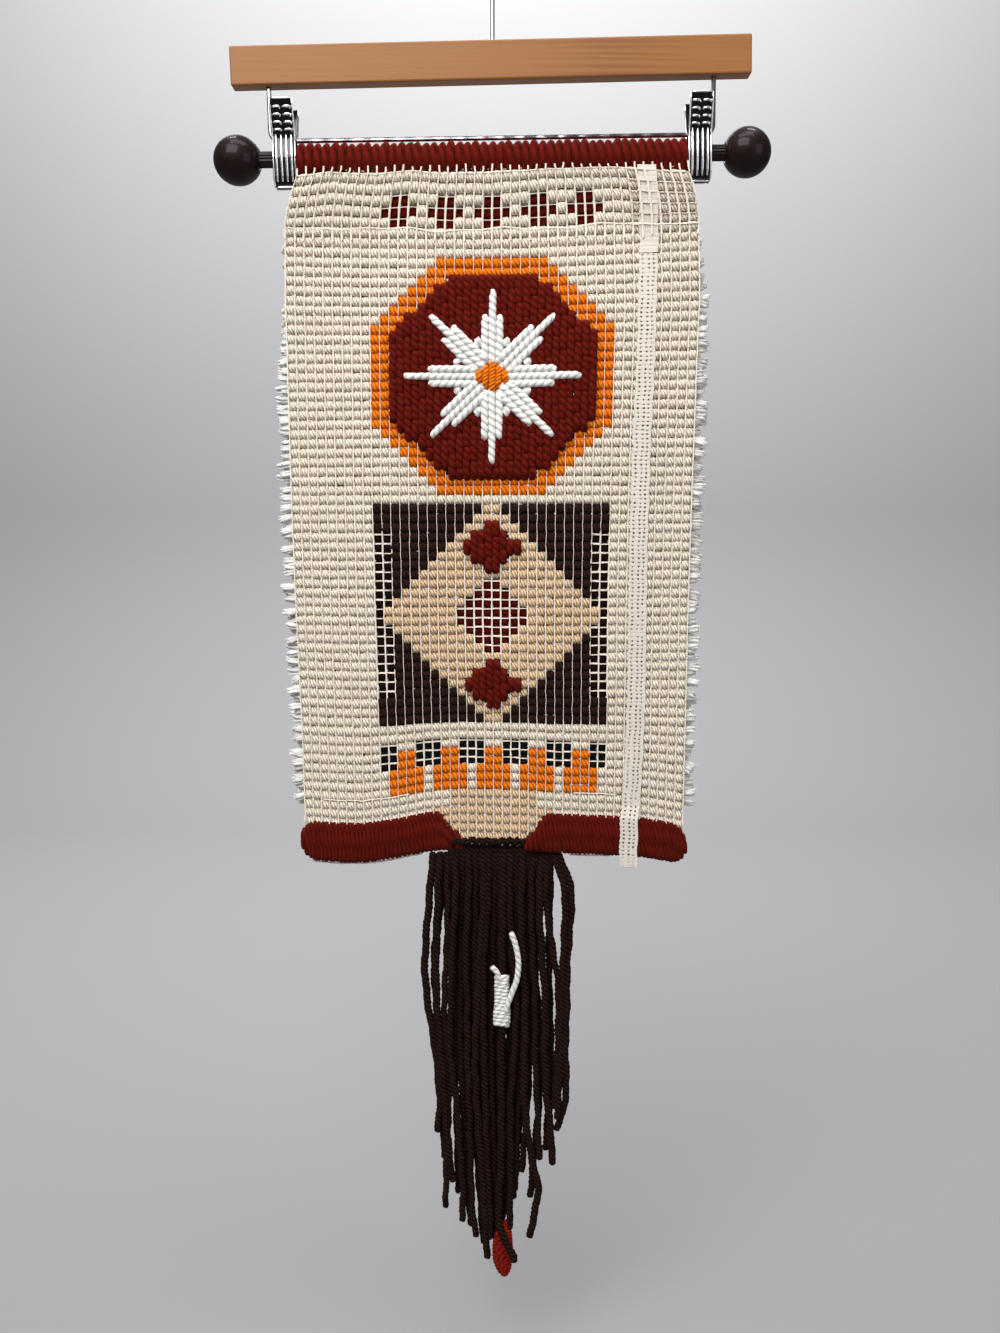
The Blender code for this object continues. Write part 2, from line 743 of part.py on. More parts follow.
def make_tie(finish):
    """White yarn bound round one strand, with one long and one short free end."""
    path = strands()[TIED_STRAND]
    top = path_at(path, ROD_Z + TIE_TOP_LEVEL)
    bottom = path_at(path, ROD_Z + TIE_BOTTOM_LEVEL)
    length = (top - bottom).length
    bore = STRAND_RADIUS + 2 * GAP
    profile = ((0, bore), (0, TIE_RADIUS - 0.0010), (0.0012, TIE_RADIUS),
               (length - 0.0012, TIE_RADIUS), (length, TIE_RADIUS - 0.0010),
               (length, bore), (0, bore))
    knot = turned("tie_knot", profile, finish, steps=16)
    knot.location = bottom
    knot.rotation_mode = "QUATERNION"
    knot.rotation_quaternion = (top - bottom).to_track_quat("X", "Z")
    long_end = [bottom + Vector(offset) for offset in (
        (0.0010, -0.0054, 0.020), (0.0024, -0.0056, 0.028), (0.0062, -0.0064, 0.038),
        (0.0098, -0.0068, 0.048), (0.0112, -0.0068, 0.058), (0.0104, -0.0066, 0.068),
        (0.0070, -0.0064, 0.078))]
    short_end = [top + Vector(offset) for offset in (
        (-0.0012, -0.0054, -0.009), (-0.0030, -0.0057, -0.003), (-0.0060, -0.0062, 0.002),
        (-0.0092, -0.0064, 0.006))]
    for name, points in (("tie_long_end", long_end), ("tie_short_end", short_end)):
        end = tube(name, points, TIE_YARN_RADIUS, None, sides_level=2)
        data = bpy.data.meshes.new_from_object(end)
        bpy.data.objects.remove(end)
        join(knot, new_object(name, data))
    return knot


def make_tuft(finish):
    """A rust yarn end at the point of the fringe, just under a strand's cut end."""
    path = strands()[TUFT_STRAND]
    steps = 6
    profile = [(0.0, 0.0)]
    for i in range(1, steps):
        t = i / steps
        profile.append((TUFT_LENGTH * t, TUFT_RADIUS * math.sin(math.pi * t) ** 0.7))
    profile.append((TUFT_LENGTH, 0.0))
    tuft = turned("rust_tuft", profile, finish, steps=10)
    tuft.location = path[-1] + Vector((0, 0, -1.2 * GAP))
    tuft.rotation_euler = (0, math.pi / 2, 0)
    return tuft


def main():
    for old in list(bpy.data.objects):
        bpy.data.objects.remove(old)

    light_wood = material("light_wood", (0.62, 0.35, 0.16), 0.45)
    dark_wood = material("dark_wood", (0.022, 0.012, 0.010), 0.30)
    chrome = material("chrome", (0.80, 0.80, 0.82), 0.12, metallic=1.0)
    canvas_cotton = material("canvas_cotton", (0.80, 0.74, 0.62), 0.90)
    cream_yarn = material("cream_yarn", (0.78, 0.74, 0.64), 0.95)
    rust_yarn = material("rust_yarn", (0.22, 0.022, 0.010), 0.95)
    brown_yarn = material("brown_yarn", (0.022, 0.010, 0.008), 0.95)
    white_yarn = material("white_yarn", (0.85, 0.84, 0.80), 0.95)

    frame = hanger_frame()
    make_bar(frame, light_wood)
    make_hook(chrome)
    make_trouser_wire(frame, chrome)
    for side_name, side in (("left", -1), ("right", 1)):
        make_jaw(frame, "clip_front_" + side_name, side * CLIP_X, -1, chrome)
        make_jaw(frame, "clip_back_" + side_name, side * CLIP_X, 1, chrome)
        make_spring(frame, "clip_spring_" + side_name, side * SPRING_X, chrome)
        make_finial(frame, "finial_" + side_name, side, dark_wood)
        make_hem_wrap("hem_wrap_" + side_name, side, rust_yarn)
    make_rod(frame, dark_wood)
    make_canvas(canvas_cotton)
    make_header_wrap(rust_yarn)
    make_pile(cream_yarn)
    make_fringe(brown_yarn)
    make_tie(white_yarn)
    make_tuft(rust_yarn)


main()
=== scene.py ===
# %% [markdown]
# # A latch hook wall hanging on its rod and clip hanger
#
# The real thing is an open cotton canvas with yarn hooked through it, hung over a dark
# turned rod. We look at its canvas side: each knot shows there as a plump little bar of
# yarn, and the cut pile stands out behind. The solid model already holds every piece at
# its true size. This script gives those pieces their looks: yarn that is really twisted,
# a mesh that is really open, bright chrome and lacquered wood.

# %% Load the solid model
import itertools
import math
import random

import bmesh
import bpy
import numpy as np
from mathutils import Matrix, Vector


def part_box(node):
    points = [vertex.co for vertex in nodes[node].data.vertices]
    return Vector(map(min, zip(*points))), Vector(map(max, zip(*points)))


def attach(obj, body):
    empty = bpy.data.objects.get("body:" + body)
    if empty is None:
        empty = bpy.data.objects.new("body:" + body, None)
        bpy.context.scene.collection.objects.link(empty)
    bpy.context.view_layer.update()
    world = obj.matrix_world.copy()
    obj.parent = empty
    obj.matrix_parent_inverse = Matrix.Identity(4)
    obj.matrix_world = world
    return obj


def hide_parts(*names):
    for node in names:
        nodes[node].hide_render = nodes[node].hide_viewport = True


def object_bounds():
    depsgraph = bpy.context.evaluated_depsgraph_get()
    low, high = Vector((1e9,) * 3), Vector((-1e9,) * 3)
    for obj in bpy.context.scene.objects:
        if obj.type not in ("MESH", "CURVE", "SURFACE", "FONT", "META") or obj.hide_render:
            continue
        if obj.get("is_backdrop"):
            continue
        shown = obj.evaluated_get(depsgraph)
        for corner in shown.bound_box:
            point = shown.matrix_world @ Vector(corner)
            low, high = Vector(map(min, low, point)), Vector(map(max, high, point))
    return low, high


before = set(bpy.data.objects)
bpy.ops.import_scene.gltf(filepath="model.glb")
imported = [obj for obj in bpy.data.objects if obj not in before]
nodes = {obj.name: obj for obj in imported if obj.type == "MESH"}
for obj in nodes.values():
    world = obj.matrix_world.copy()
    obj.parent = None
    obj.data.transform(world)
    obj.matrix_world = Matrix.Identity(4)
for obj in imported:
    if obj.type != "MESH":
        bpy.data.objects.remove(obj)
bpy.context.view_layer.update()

# %% [markdown]
# ## The camera
#
# A camera is described by its lens and by where it stands. This one stands square to the
# hanging, a little under a metre away and tilted slightly down, so the rod is seen a
# touch larger than the fringe. The lens comes from the picture's height and the focal
# length, both in pixels.

# %% Camera
PICTURE_HEIGHT, FOCAL_LENGTH = 1333, 1147
SENSOR = 36.0
CAMERA_PLACE = (0.0056, -0.860, -0.4119)
CAMERA_TILT = math.radians(7.5)


def placed(name, data):
    """An object in the scene for a mesh, a light or a camera."""
    made = bpy.data.objects.new(name, data)
    bpy.context.scene.collection.objects.link(made)
    return made


lens = bpy.data.cameras.new("camera")
lens.sensor_width = SENSOR
lens.lens = SENSOR * FOCAL_LENGTH / PICTURE_HEIGHT
camera = placed("camera", lens)
camera.location = CAMERA_PLACE
camera.rotation_euler = (math.pi / 2 - CAMERA_TILT, 0, 0)
bpy.context.scene.camera = camera
print("lens", round(lens.lens, 2), "mm")

# %% [markdown]
# ## How the cloth hangs
#
# It is much easier to lay out rows and columns on a flat cloth and to hang the cloth
# afterwards. So every soft piece below is modelled flat: x runs across, y is the height
# off the canvas, and z is the level above the rod's axis. `hang` then moves each point to
# where the cloth really hangs. It widens and narrows with the cloth's edges, swings with
# the soft folds, and follows the tilted rod and the bowed bottom hem. These are the same
# sizes as the solid model's, so each piece lies on its solid.

# %% Sizes of the hanging cloth
def millimetres(*rows):
    """A table that is typed in millimetres, in metres."""
    return np.array(rows, float) / 1000


def reading(table, place, column=1):
    """What a column of a table says at a place between its rows."""
    return np.interp(place, table[:, 0], table[:, column])


rod_low, rod_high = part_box("rod")
ROD_Z = (rod_low.z + rod_high.z) / 2
HANGER_TILT = math.radians(0.85)
HALF_WIDTH = 0.148
# level, left edge, right edge
CANVAS_EDGES = millimetres(
    (-520, -144.0, 145.5), (-425, -145.0, 146.2), (-330, -147.5, 146.5), (-245, -149.0, 147.5),
    (-170, -149.5, 149.0), (-100, -150.0, 150.5), (-45, -148.5, 148.0), (-31, -145.5, 145.5),
    (-20, -141.5, 142.0), (-12, -138.0, 138.5), (10, -137.0, 137.2))
# x, rise of the bottom hem
HEM_LINE = millimetres(
    (-150, -4.0), (-100, -4.2), (-75, -1.0), (-50, 3.5), (-25, 5.5), (25, 5.5), (50, 3.0),
    (85, 0.8), (115, -1.0), (150, -7.0))
# x, rise of the flap's top edge
TOP_LINE = millimetres(
    (-150, -3.0), (-115, 1.4), (-82, -1.0), (-58, 1.2), (-35, -0.8), (0, -1.0), (40, 1.4),
    (88, 1.6), (112, -0.8), (150, -2.8))
print("rod's axis at", round(ROD_Z, 4))

# %% Hanging the flat cloth
RIPPLE, RIPPLE_LENGTH = 0.0022, 0.130
CURL, CURL_START = 0.13, 0.115
BELLY, BELLY_LENGTH = 0.0035, 0.530
SAG, SAG_HALF_WIDTH = 0.0035, 0.140


def step(value, start, end):
    """0 at start and before it, 1 at end and past it, and a smooth step between them."""
    t = np.clip((value - start) / (end - start), 0, 1)
    return t * t * (3 - 2 * t)


def edges_at(level):
    return (reading(CANVAS_EDGES, level, column) for column in (1, 2))


def hang(flat):
    """Moves points of the flat cloth, in rows of (across, out, level), to where it hangs."""
    across, out, level = np.asarray(flat, float).reshape(-1, 3).T
    left, right = edges_at(level)
    x = (left + right) / 2 + across / HALF_WIDTH * (right - left) / 2
    ripple = RIPPLE * np.sin(math.tau * x / RIPPLE_LENGTH + 0.6 - 5.0 * level)
    curl = CURL * np.maximum(0, abs(x) - CURL_START)
    belly = -BELLY * np.sin(math.pi * np.clip(-level / BELLY_LENGTH, 0, 1))
    swing = (ripple + curl + belly) * step(level, -0.022, -0.140)
    tilt = x * math.tan(HANGER_TILT) * (1 - step(level, -0.030, -0.300))
    sag = -SAG * (1 - (x / SAG_HALF_WIDTH) ** 2) * step(level, -0.015, -0.050)
    sag *= 1 - step(level, -0.060, -0.220)
    sag += (reading(TOP_LINE, x) * step(level, -0.070, -0.018)
            * (1 - step(level, -0.0135, -0.0090)))
    hem = reading(HEM_LINE, x) * step(level, -0.360, -0.490)
    return np.stack([x, out + swing, ROD_Z + level + tilt + sag + hem], axis=1)


print("the cloth's middle hangs at", hang([(0, 0, -0.25)]).round(4)[0])

# %% [markdown]
# ## Strands
#
# Nearly everything here is yarn, and yarn bends in smooth curves. A path is typed as a few
# points only. `curved` draws a smooth line through them, and puts points at even steps
# along it, so that the faces of a strand come out alike.

# %% Smooth paths
def distances(points):
    """How far along a line each of its points is."""
    return np.concatenate([[0], np.cumsum(np.linalg.norm(np.diff(points, axis=0), axis=1))])


def curved(path, spacing, steps=8):
    """A smooth curve through the points of a path, with its own points evenly spaced."""
    points = np.asarray(path, float)
    ends = np.vstack([2 * points[0] - points[1], points, 2 * points[-1] - points[-2]])
    curve = [0.5 * (2 * b + (c - a) * t + (2 * a - 5 * b + 4 * c - d) * t * t
                    + (3 * b - a - 3 * c + d) * t ** 3)
             for a, b, c, d in zip(ends, ends[1:], ends[2:], ends[3:])
             for t in np.arange(steps) / steps]
    curve = np.array(curve + [points[-1]])
    lengths = distances(curve)
    places = np.linspace(0, lengths[-1], max(2, round(lengths[-1] / spacing) + 1))
    return np.stack([np.interp(places, lengths, curve[:, i]) for i in range(3)], axis=1)


print("a bent path of", len(curved([(0, 0, 0), (0.01, 0, 0), (0.01, 0, 0.01)], 0.001)), "points")

# %% [markdown]
# `strand` rolls a flat grid up into a tube along a path, and lets its plies wind round
# each other, so the yarn's twist is in the shape and shows from every side. A twist that
# is only painted on would look flat at the yarn's edges.

# %% Strands of yarn
def sides_of(points):
    """Two directions across a path at each of its points, without twisting along it."""
    runs = np.gradient(points, axis=0)
    runs /= np.linalg.norm(runs, axis=1)[:, None]
    side = np.array((0, 1, 0)) if abs(runs[0][1]) < 0.9 else np.array((1, 0, 0))
    across = []
    for run in runs:
        side = side - run * (side @ run)
        side = side / np.linalg.norm(side)
        across.append(side)
    return np.array(across), np.cross(runs, across)


def strand(shape, path, radius, sides=8, plies=2, twist=2.6, depth=0.22, flat=1.0,
           start_taper=0.5, end_taper=0.5):
    """Adds a strand of plied yarn to a bmesh. radius is one number or one for each point
    of the path, twist is in plies passed in each centimetre, and flat squeezes the
    strand in the first direction across it. Its UV map holds the length along it in
    centimetres, and the share of a turn round it."""
    points = np.asarray(path, float)
    lengths, (across, up) = distances(points), sides_of(points)
    radii = np.broadcast_to(np.asarray(radius, float), len(points)).copy()
    radii[0] *= start_taper
    radii[-1] *= end_taper
    uv = shape.loops.layers.uv.get("yarn") or shape.loops.layers.uv.new("yarn")
    rings = len(points) - 1
    verts = bmesh.ops.create_grid(shape, x_segments=rings, y_segments=sides, size=0.5)["verts"]
    faces = dict.fromkeys(face for vert in verts for face in vert.link_faces)
    places = {}
    for vert in verts:
        ring, turn = round((vert.co.x + 0.5) * rings), vert.co.y + 0.5
        places[vert] = (lengths[ring] * 100, turn)
        ply = abs(math.sin(math.pi * (places[vert][0] * twist + turn * plies)))
        size = radii[ring] * (1 - depth + depth * ply)
        angle = math.tau * turn
        vert.co = (points[ring] + across[ring] * size * flat * math.cos(angle)
                   + up[ring] * size * math.sin(angle))
    for face in faces:
        face.smooth = True
        for loop in face.loops:
            loop[uv].uv = places[loop.vert]
    bmesh.ops.remove_doubles(shape, verts=verts, dist=0.000001)
    rims = dict.fromkeys(edge for face in faces for edge in face.edges if edge.is_boundary)
    bmesh.ops.edgeloop_fill(shape, edges=list(rims))


trial = bmesh.new()
strand(trial, [(0, 0, 0), (0, 0, 0.01), (0, 0, 0.02)], 0.003)
print("a strand of three points has", len(trial.faces), "faces")
trial.free()

# %% [markdown]
# ## Pieces
#
# A shape that is needed hundreds of times is made once as a small mesh, and `copies` puts
# it in all its places as one mesh. `piece` turns a finished bmesh into an object that
# rides on the solid model. Nothing made by hand repeats exactly, so `jitter` gives small
# chance amounts. The chance is seeded, so each run makes the same hanging.

# %% Small meshes, copies and pieces
SEED = 11
chance = random.Random(SEED)


def jitter(amount):
    return chance.uniform(-amount, amount)


def mesh_of(shape, name):
    data = bpy.data.meshes.new(name)
    shape.to_mesh(data)
    shape.free()
    return data


def small_mesh(shape, name):
    """A bmesh as a small mesh to be repeated."""
    bmesh.ops.recalc_face_normals(shape, faces=shape.faces[:])
    return mesh_of(shape, name)


def copies(meshes_and_places):
    """One bmesh of small meshes, each put in its place."""
    shape = bmesh.new()
    for data, place in meshes_and_places:
        copy = data.copy()
        copy.transform(place)
        shape.from_mesh(copy)
        bpy.data.meshes.remove(copy)
    return shape


def piece(name, shape, finish, replaces=(), hung=True, closed=True):
    """Turns a bmesh into a piece that rides on the solid model, hung if it is cloth."""
    if closed:
        bmesh.ops.recalc_face_normals(shape, faces=shape.faces[:])
    data = mesh_of(shape, name)
    if hung:
        places = np.empty(len(data.vertices) * 3, np.float32)
        data.vertices.foreach_get("co", places)
        data.vertices.foreach_set("co", hang(places).astype(np.float32).ravel())
        data.update()
    data.materials.append(finish)
    made = placed(name, data)
    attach(made, "root")
    if replaces:
        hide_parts(*replaces)
    print(name, sum(len(face.vertices) - 2 for face in data.polygons), "triangles")
    return made


print("chance is seeded with", SEED)

# %% [markdown]
# ## Finishes
#
# Every finish is made of shader nodes, so it needs no pictures. A colour or a number that
# is the same everywhere sits on the shader itself. What varies is worked out from the
# object's own coordinates, or on yarn from the strand's UV map. That takes many Math
# nodes, and `Wire` lets us write them as plain sums: adding or multiplying what comes out
# of a node adds the Math node for it.

# %% Wires
class Wire:
    """What comes out of a shader node. A sum with it adds a Math node to its finish."""

    def __init__(self, finish, socket):
        self.finish, self.socket = finish, socket

    def maths(self, operation, other=0.0):
        return self.finish.node("Math", {0: self, 1: other}, operation=operation)

    def __add__(self, other):
        return self.maths("ADD", other)

    def __mul__(self, other):
        return self.maths("MULTIPLY", other)

    def __pow__(self, other):
        return self.maths("POWER", other)

    def wave(self):
        """Rises and falls between 0 and 1, once for each pi."""
        return self.maths("SINE").maths("ABSOLUTE")


print("besides sums a wire has", [name for name in vars(Wire) if not name.startswith("_")])

# %% [markdown]
# A finish starts as Blender's main shader with a colour and a roughness. Most helpers add
# one kind of node, and give back the wire that comes out of it.

# %% Finishes
class Finish:
    """A material with one main shader, and short ways of adding nodes to it."""

    def __init__(self, name, colour, roughness, **sockets):
        self.material = bpy.data.materials.new(name)
        self.material.use_nodes = True
        self.tree = self.material.node_tree
        self.shader = self.tree.nodes["Principled BSDF"]
        self.shader.inputs["Base Color"].default_value = (*colour, 1)
        self.shader.inputs["Roughness"].default_value = roughness
        for socket, value in sockets.items():
            self.shader.inputs[socket.replace("_", " ")].default_value = value

    def feed(self, socket, value):
        """Links a wire to a socket, or sets the socket to a plain value."""
        if isinstance(value, Wire):
            self.tree.links.new(value.socket, socket)
        else:
            socket.default_value = value

    def node(self, kind, inputs=None, output=0, **settings):
        made = self.tree.nodes.new("ShaderNode" + kind)
        for name, value in settings.items():
            setattr(made, name, value)
        for key, value in (inputs or {}).items():
            self.feed(made.inputs[key], value)
        return Wire(self, made.outputs[output])

    def own_place(self):
        return self.node("TexCoord", output="Object")

    def stretched(self, place, scale):
        return self.node("Mapping", {"Vector": place, "Scale": scale})

    def noise(self, place, scale, detail=2.0, roughness=0.5):
        return self.node("TexNoise", {"Vector": place, "Scale": scale, "Detail": detail,
                                      "Roughness": roughness})

    def parts(self, place):
        """The x, y and z of a place, each as a wire."""
        split = self.tree.nodes.new("ShaderNodeSeparateXYZ")
        self.feed(split.inputs[0], place)
        return [Wire(self, output) for output in split.outputs]

    def mapped(self, name):
        """The two numbers of a UV map. On yarn they are length along it and turn round it."""
        return self.parts(self.node("UVMap", uv_map=name))[:2]

    def blended(self, share, first, second):
        """A colour between two, by a share from 0 to 1."""
        return self.node("Mix", {0: share, 6: first, 7: second}, output=2, data_type="RGBA")

    def paint(self, colour):
        self.feed(self.shader.inputs["Base Color"], colour)

    def bump(self, height, distance, strength):
        self.feed(self.shader.inputs["Normal"], self.node(
            "Bump", {"Height": height, "Distance": distance, "Strength": strength}))


def shades(colour, factor):
    return (*(channel * factor for channel in colour), 1)


print("a darker grey", shades((0.5, 0.5, 0.5), 0.5))

# %% [markdown]
# ### Yarn
#
# Yarn reflects light from thousands of fibres, so it is rough, with a little sheen of its
# own hue. The hooked yarn is soft. The fringe's yarn is harder, and the shade painted in
# its grooves is nearly black. The colours come first, as red, green and blue shares of the light.

# %% Yarn colours
CREAM = (0.92, 0.81, 0.66)
TAN = (0.80, 0.56, 0.34)
BROWN = (0.017, 0.0068, 0.0052)
FRINGE_BROWN = (0.0092, 0.0038, 0.0029)
ORANGE = (0.90, 0.200, 0.008)
RUST = (0.092, 0.0052, 0.0024)
RED = (0.215, 0.0095, 0.0048)
WHITE = (0.86, 0.84, 0.80)
WISP_WHITE = (0.70, 0.69, 0.665)
BLACK = (0.008, 0.008, 0.010)
for name, colour in (("cream", CREAM), ("black", BLACK)):
    print(name, "reflects", round(sum(colour) / 3, 3), "of the light")

# %% [markdown]
# Plied yarn is darker in its grooves, because little light gets between the plies. The
# finish finds the grooves from the strand's UV map, by the same rule that `strand` shapes
# them with, so where both have the same twist, colour and shape meet.

# %% Plied yarn
def fuzzy(name, colour, fuzz):
    """A rough finish with the soft glow that loose fibres give."""
    hue = (*(math.sqrt(channel) for channel in colour), 1)
    return Finish(name, colour, 0.95, Sheen_Weight=fuzz, Sheen_Roughness=0.5, Sheen_Tint=hue,
                  Specular_IOR_Level=0.06)


def yarn_finish(name, colour, plies=2, twist=2.6, groove_shade=0.38, lift=1.25, fuzz=0.18,
                relief=0.0007):
    """Plied yarn: rounded plies with painted shade in the grooves between them, fine
    slanting fibres, and a little unevenness of colour from place to place."""
    yarn = fuzzy(name, colour, fuzz)
    length, turn = yarn.mapped("yarn")
    passed = length * twist + turn * float(plies)
    ply = (passed * math.pi).wave() ** 0.6
    spot = yarn.own_place()
    fibre_place = yarn.node("CombineXYZ", {0: passed * 5.0, 1: length * 1.6,
                                           2: yarn.noise(spot, 60.0)})
    fibres = yarn.noise(fibre_place, 2.2, detail=3.0, roughness=0.6)
    shade = fibres * 0.55 + yarn.noise(spot, 90.0) * 0.45
    body = yarn.blended(shade, shades(colour, 0.72), shades(colour, lift))
    # Painted shade: the grooves between the plies are painted darker, where little light gets in.
    yarn.paint(yarn.blended(ply, shades(colour, groove_shade), body))
    yarn.bump(ply + fibres * 0.35, relief, 0.9)
    return yarn.material


FRINGE_TWIST = 2.7
FRINGE_YARN = yarn_finish("fringe_yarn", FRINGE_BROWN, 3, FRINGE_TWIST, groove_shade=0.06, lift=3.8,
                          fuzz=0.05, relief=0.0014)
print("the fringe's yarn takes", len(FRINGE_YARN.node_tree.nodes), "nodes")

# %% [markdown]
# The other yarns differ in their twist and in how dark their grooves are. The knots' yarn
# is twisted the other way. The rust stitches have a tighter twist than the rust yarn over
# the rod, so they have a finish of their own.

# %% Hooked, wound and stitched yarn
KNOT_TWIST, KNOT_PLIES = 4.0, -3
WRAP_TWIST, STITCH_TWIST = 0.75, 1.9
YARNS = {
    "cream": yarn_finish("cream_yarn", CREAM, KNOT_PLIES, KNOT_TWIST, 0.50, 1.14, relief=0.0013),
    "tan": yarn_finish("tan_yarn", TAN, KNOT_PLIES, KNOT_TWIST, 0.42, 1.14, relief=0.0013),
    "brown": yarn_finish("brown_yarn", BROWN, KNOT_PLIES, KNOT_TWIST, lift=1.6),
    "orange": yarn_finish("orange_yarn", ORANGE, KNOT_PLIES, KNOT_TWIST, 0.36, 1.14,
                          relief=0.0013),
    "rust": yarn_finish("rust_yarn", RUST, twist=WRAP_TWIST, lift=1.5),
    "red": yarn_finish("red_yarn", RED, twist=2.4, groove_shade=0.25, lift=1.6, relief=0.0012),
    "white": yarn_finish("white_yarn", WHITE, twist=STITCH_TWIST, groove_shade=0.5, lift=1.1),
    "black": yarn_finish("black_yarn", BLACK, twist=2.2, lift=2.0),
}
STITCH_RUST = yarn_finish("rust_stitch_yarn", RUST, twist=STITCH_TWIST, lift=1.5)
print("yarns", list(YARNS))

# %% [markdown]
# The cut pile has no plies left. It is fluffy, streaked along each tuft, and painted with
# shade only down at its foot, deep among the other tufts. The wisps at its edges get almost
# none of that painted shade, so they are nearly white along their whole length.

# %% Cut ends of the yarn
def pile_finish(name, colour, foot=0.45):
    """A fluffy finish with streaks along each tuft. foot is how dark the painted shade at the
    tuft's foot is.
    """
    pile = fuzzy(name + "_pile", colour, 0.2)
    length, turn = pile.mapped("yarn")
    spot = pile.own_place()
    streak_place = pile.node("CombineXYZ", {0: turn * 9.0, 1: length * 0.8,
                                            2: pile.noise(spot, 200.0)})
    streaks = pile.noise(streak_place, 1.6)
    shade = streaks * 0.5 + pile.noise(spot, 260.0) * 0.5
    body = pile.blended(shade, shades(colour, 0.75), shades(colour, 1.25))
    # Painted shade: the colour darkens towards the tuft's foot, and is full only near its cut end.
    height = (length * 0.55).maths("MINIMUM", 1.0)
    pile.paint(pile.blended(height, shades(colour, foot), body))
    pile.bump(streaks, 0.0006, 0.8)
    return pile.material


PILES = {name: pile_finish(name, colour) for name, colour in (
    ("cream", CREAM), ("tan", TAN), ("brown", BROWN), ("orange", ORANGE), ("rust", RUST),
    ("white", WHITE), ("black", BLACK))}
WISPS = pile_finish("wisps", WISP_WHITE, foot=0.95)
print("piles", len(PILES) + 1)

# %% [markdown]
# ### Cotton
#
# The canvas is sized cotton thread: matt, off-white, and a little yellowed in places.
# Its selvage is woven, so its close threads are fine upright ribs crossed by rows. They
# are too fine to model, so bump draws them, and painted shade darkens the colour between them.

# %% Cotton canvas
SELVAGE_ROW, SELVAGE_THREAD = 0.0031, 0.0009


def cotton_finish(name, colour, darkest, woven=False):
    cotton = Finish(name, colour, 0.85, Specular_IOR_Level=0.2)
    spot = cotton.own_place()
    if woven:
        across, _, level = cotton.parts(spot)
        # Painted shade: the colour below is darker where this relief is low, between the ribs and
        # rows.
        relief = ((across * (math.pi / SELVAGE_THREAD)).wave() ** 0.6
                  * (level * (math.pi / SELVAGE_ROW)).wave() ** 0.5)
    else:
        relief = cotton.noise(spot, 1400.0, detail=1.0)
    tone = cotton.noise(spot, 35.0, detail=3.0) * 0.5 + relief * 0.5
    cotton.paint(cotton.blended(tone, shades(colour, darkest), shades(colour, 1.12)))
    cotton.bump(relief, 0.0003, 0.7)
    return cotton.material


COTTON = cotton_finish("cotton_thread", (0.84, 0.75, 0.64), 0.80)
SELVAGE_COTTON = cotton_finish("selvage_cotton", (0.71, 0.65, 0.57), 0.74, woven=True)
print("selvage threads", round(SELVAGE_THREAD * 1000, 1), "mm apart")

# %% [markdown]
# ### Wood
#
# The hanger's bar is pine under clear lacquer. Its grain runs along the bar, so noise and
# waves are stretched that way, with one darker streak of heartwood. The rod and its balls
# are lacquered nearly black, with faint marks from turning.

# %% Wood of the hanger, the rod and its balls
HEARTWOOD_X = 0.085


def bar_finish():
    pale, warm, dark = (0.30, 0.128, 0.033, 1), (0.232, 0.086, 0.020, 1), (0.14, 0.047, 0.011, 1)
    pine = Finish("pine", pale[:3], 0.50, Coat_Weight=0.06, Coat_Roughness=0.30,
                  Specular_IOR_Level=0.25)
    place = pine.own_place()
    stretched = pine.stretched(place, (1.2, 9.0, 22.0))
    wander = pine.noise(stretched, 3.0, detail=3.0)
    rings = pine.node("TexWave", {"Vector": stretched, "Scale": 3.2, "Distortion": 7.0,
                                  "Detail": 3.0, "Detail Scale": 1.5},
                      wave_type="BANDS", bands_direction="Z")
    fine = pine.noise(pine.stretched(place, (18.0, 500.0, 700.0)), 1.0)
    off_heart = (pine.parts(place)[0] + -HEARTWOOD_X).maths("ABSOLUTE")
    heart = (off_heart * -16.0 + 1.0).maths("MAXIMUM") * rings
    body = pale
    for share, colour in ((wander * 0.9, warm), (rings * 0.28, warm), (heart * 0.55, dark),
                          (fine * 0.25, dark)):
        body = pine.blended(share, body, colour)
    pine.paint(body)
    pine.bump(fine, 0.0002, 0.35)
    return pine.material


def lacquer_finish():
    colour = (0.0085, 0.0032, 0.0030)
    lacquer = Finish("dark_lacquer", colour, 0.50, Coat_Weight=0.14, Coat_Roughness=0.08,
                     Specular_IOR_Level=0.08)
    place = lacquer.own_place()
    tone = lacquer.noise(place, 55.0, detail=4.0)
    lacquer.paint(lacquer.blended(tone, shades(colour, 0.7), shades(colour, 1.7)))
    marks = lacquer.noise(lacquer.stretched(place, (900.0, 60.0, 60.0)), 1.0, detail=1.0)
    lacquer.bump(marks, 0.0001, 0.25)
    return lacquer.material


PINE, LACQUER = bar_finish(), lacquer_finish()
print("woods", PINE.name, LACQUER.name)

# %% [markdown]
# ### Chrome
#
# Plated steel is a mirror with faint smears, so its roughness varies a little. The wire
# under the bar has small notches along its run: a bump raises them, and a painted
# highlight lightens the colour at each, where it catches the light. The clips' sheet is
# painted dark, as a painted reflection of a dark room, and only its raised bars are
# painted bright as highlights.

# %% Chrome
WIRE_NOTCH_SPACING = 2 * 0.0148
CLIP_PAINTED_DARK_REFLECTION, CLIP_PAINTED_HIGHLIGHT = (0.045, 0.045, 0.050, 1), (0.95, 0.95, 0.97, 1)


def plated(name, colour, roughness, smear_scale):
    """A mirror finish and its smears."""
    metal = Finish(name, colour, roughness, Metallic=1.0)
    smears = metal.noise(metal.own_place(), smear_scale, detail=3.0)
    metal.feed(metal.shader.inputs["Roughness"], smears * 0.18 + roughness / 2)
    return metal, smears


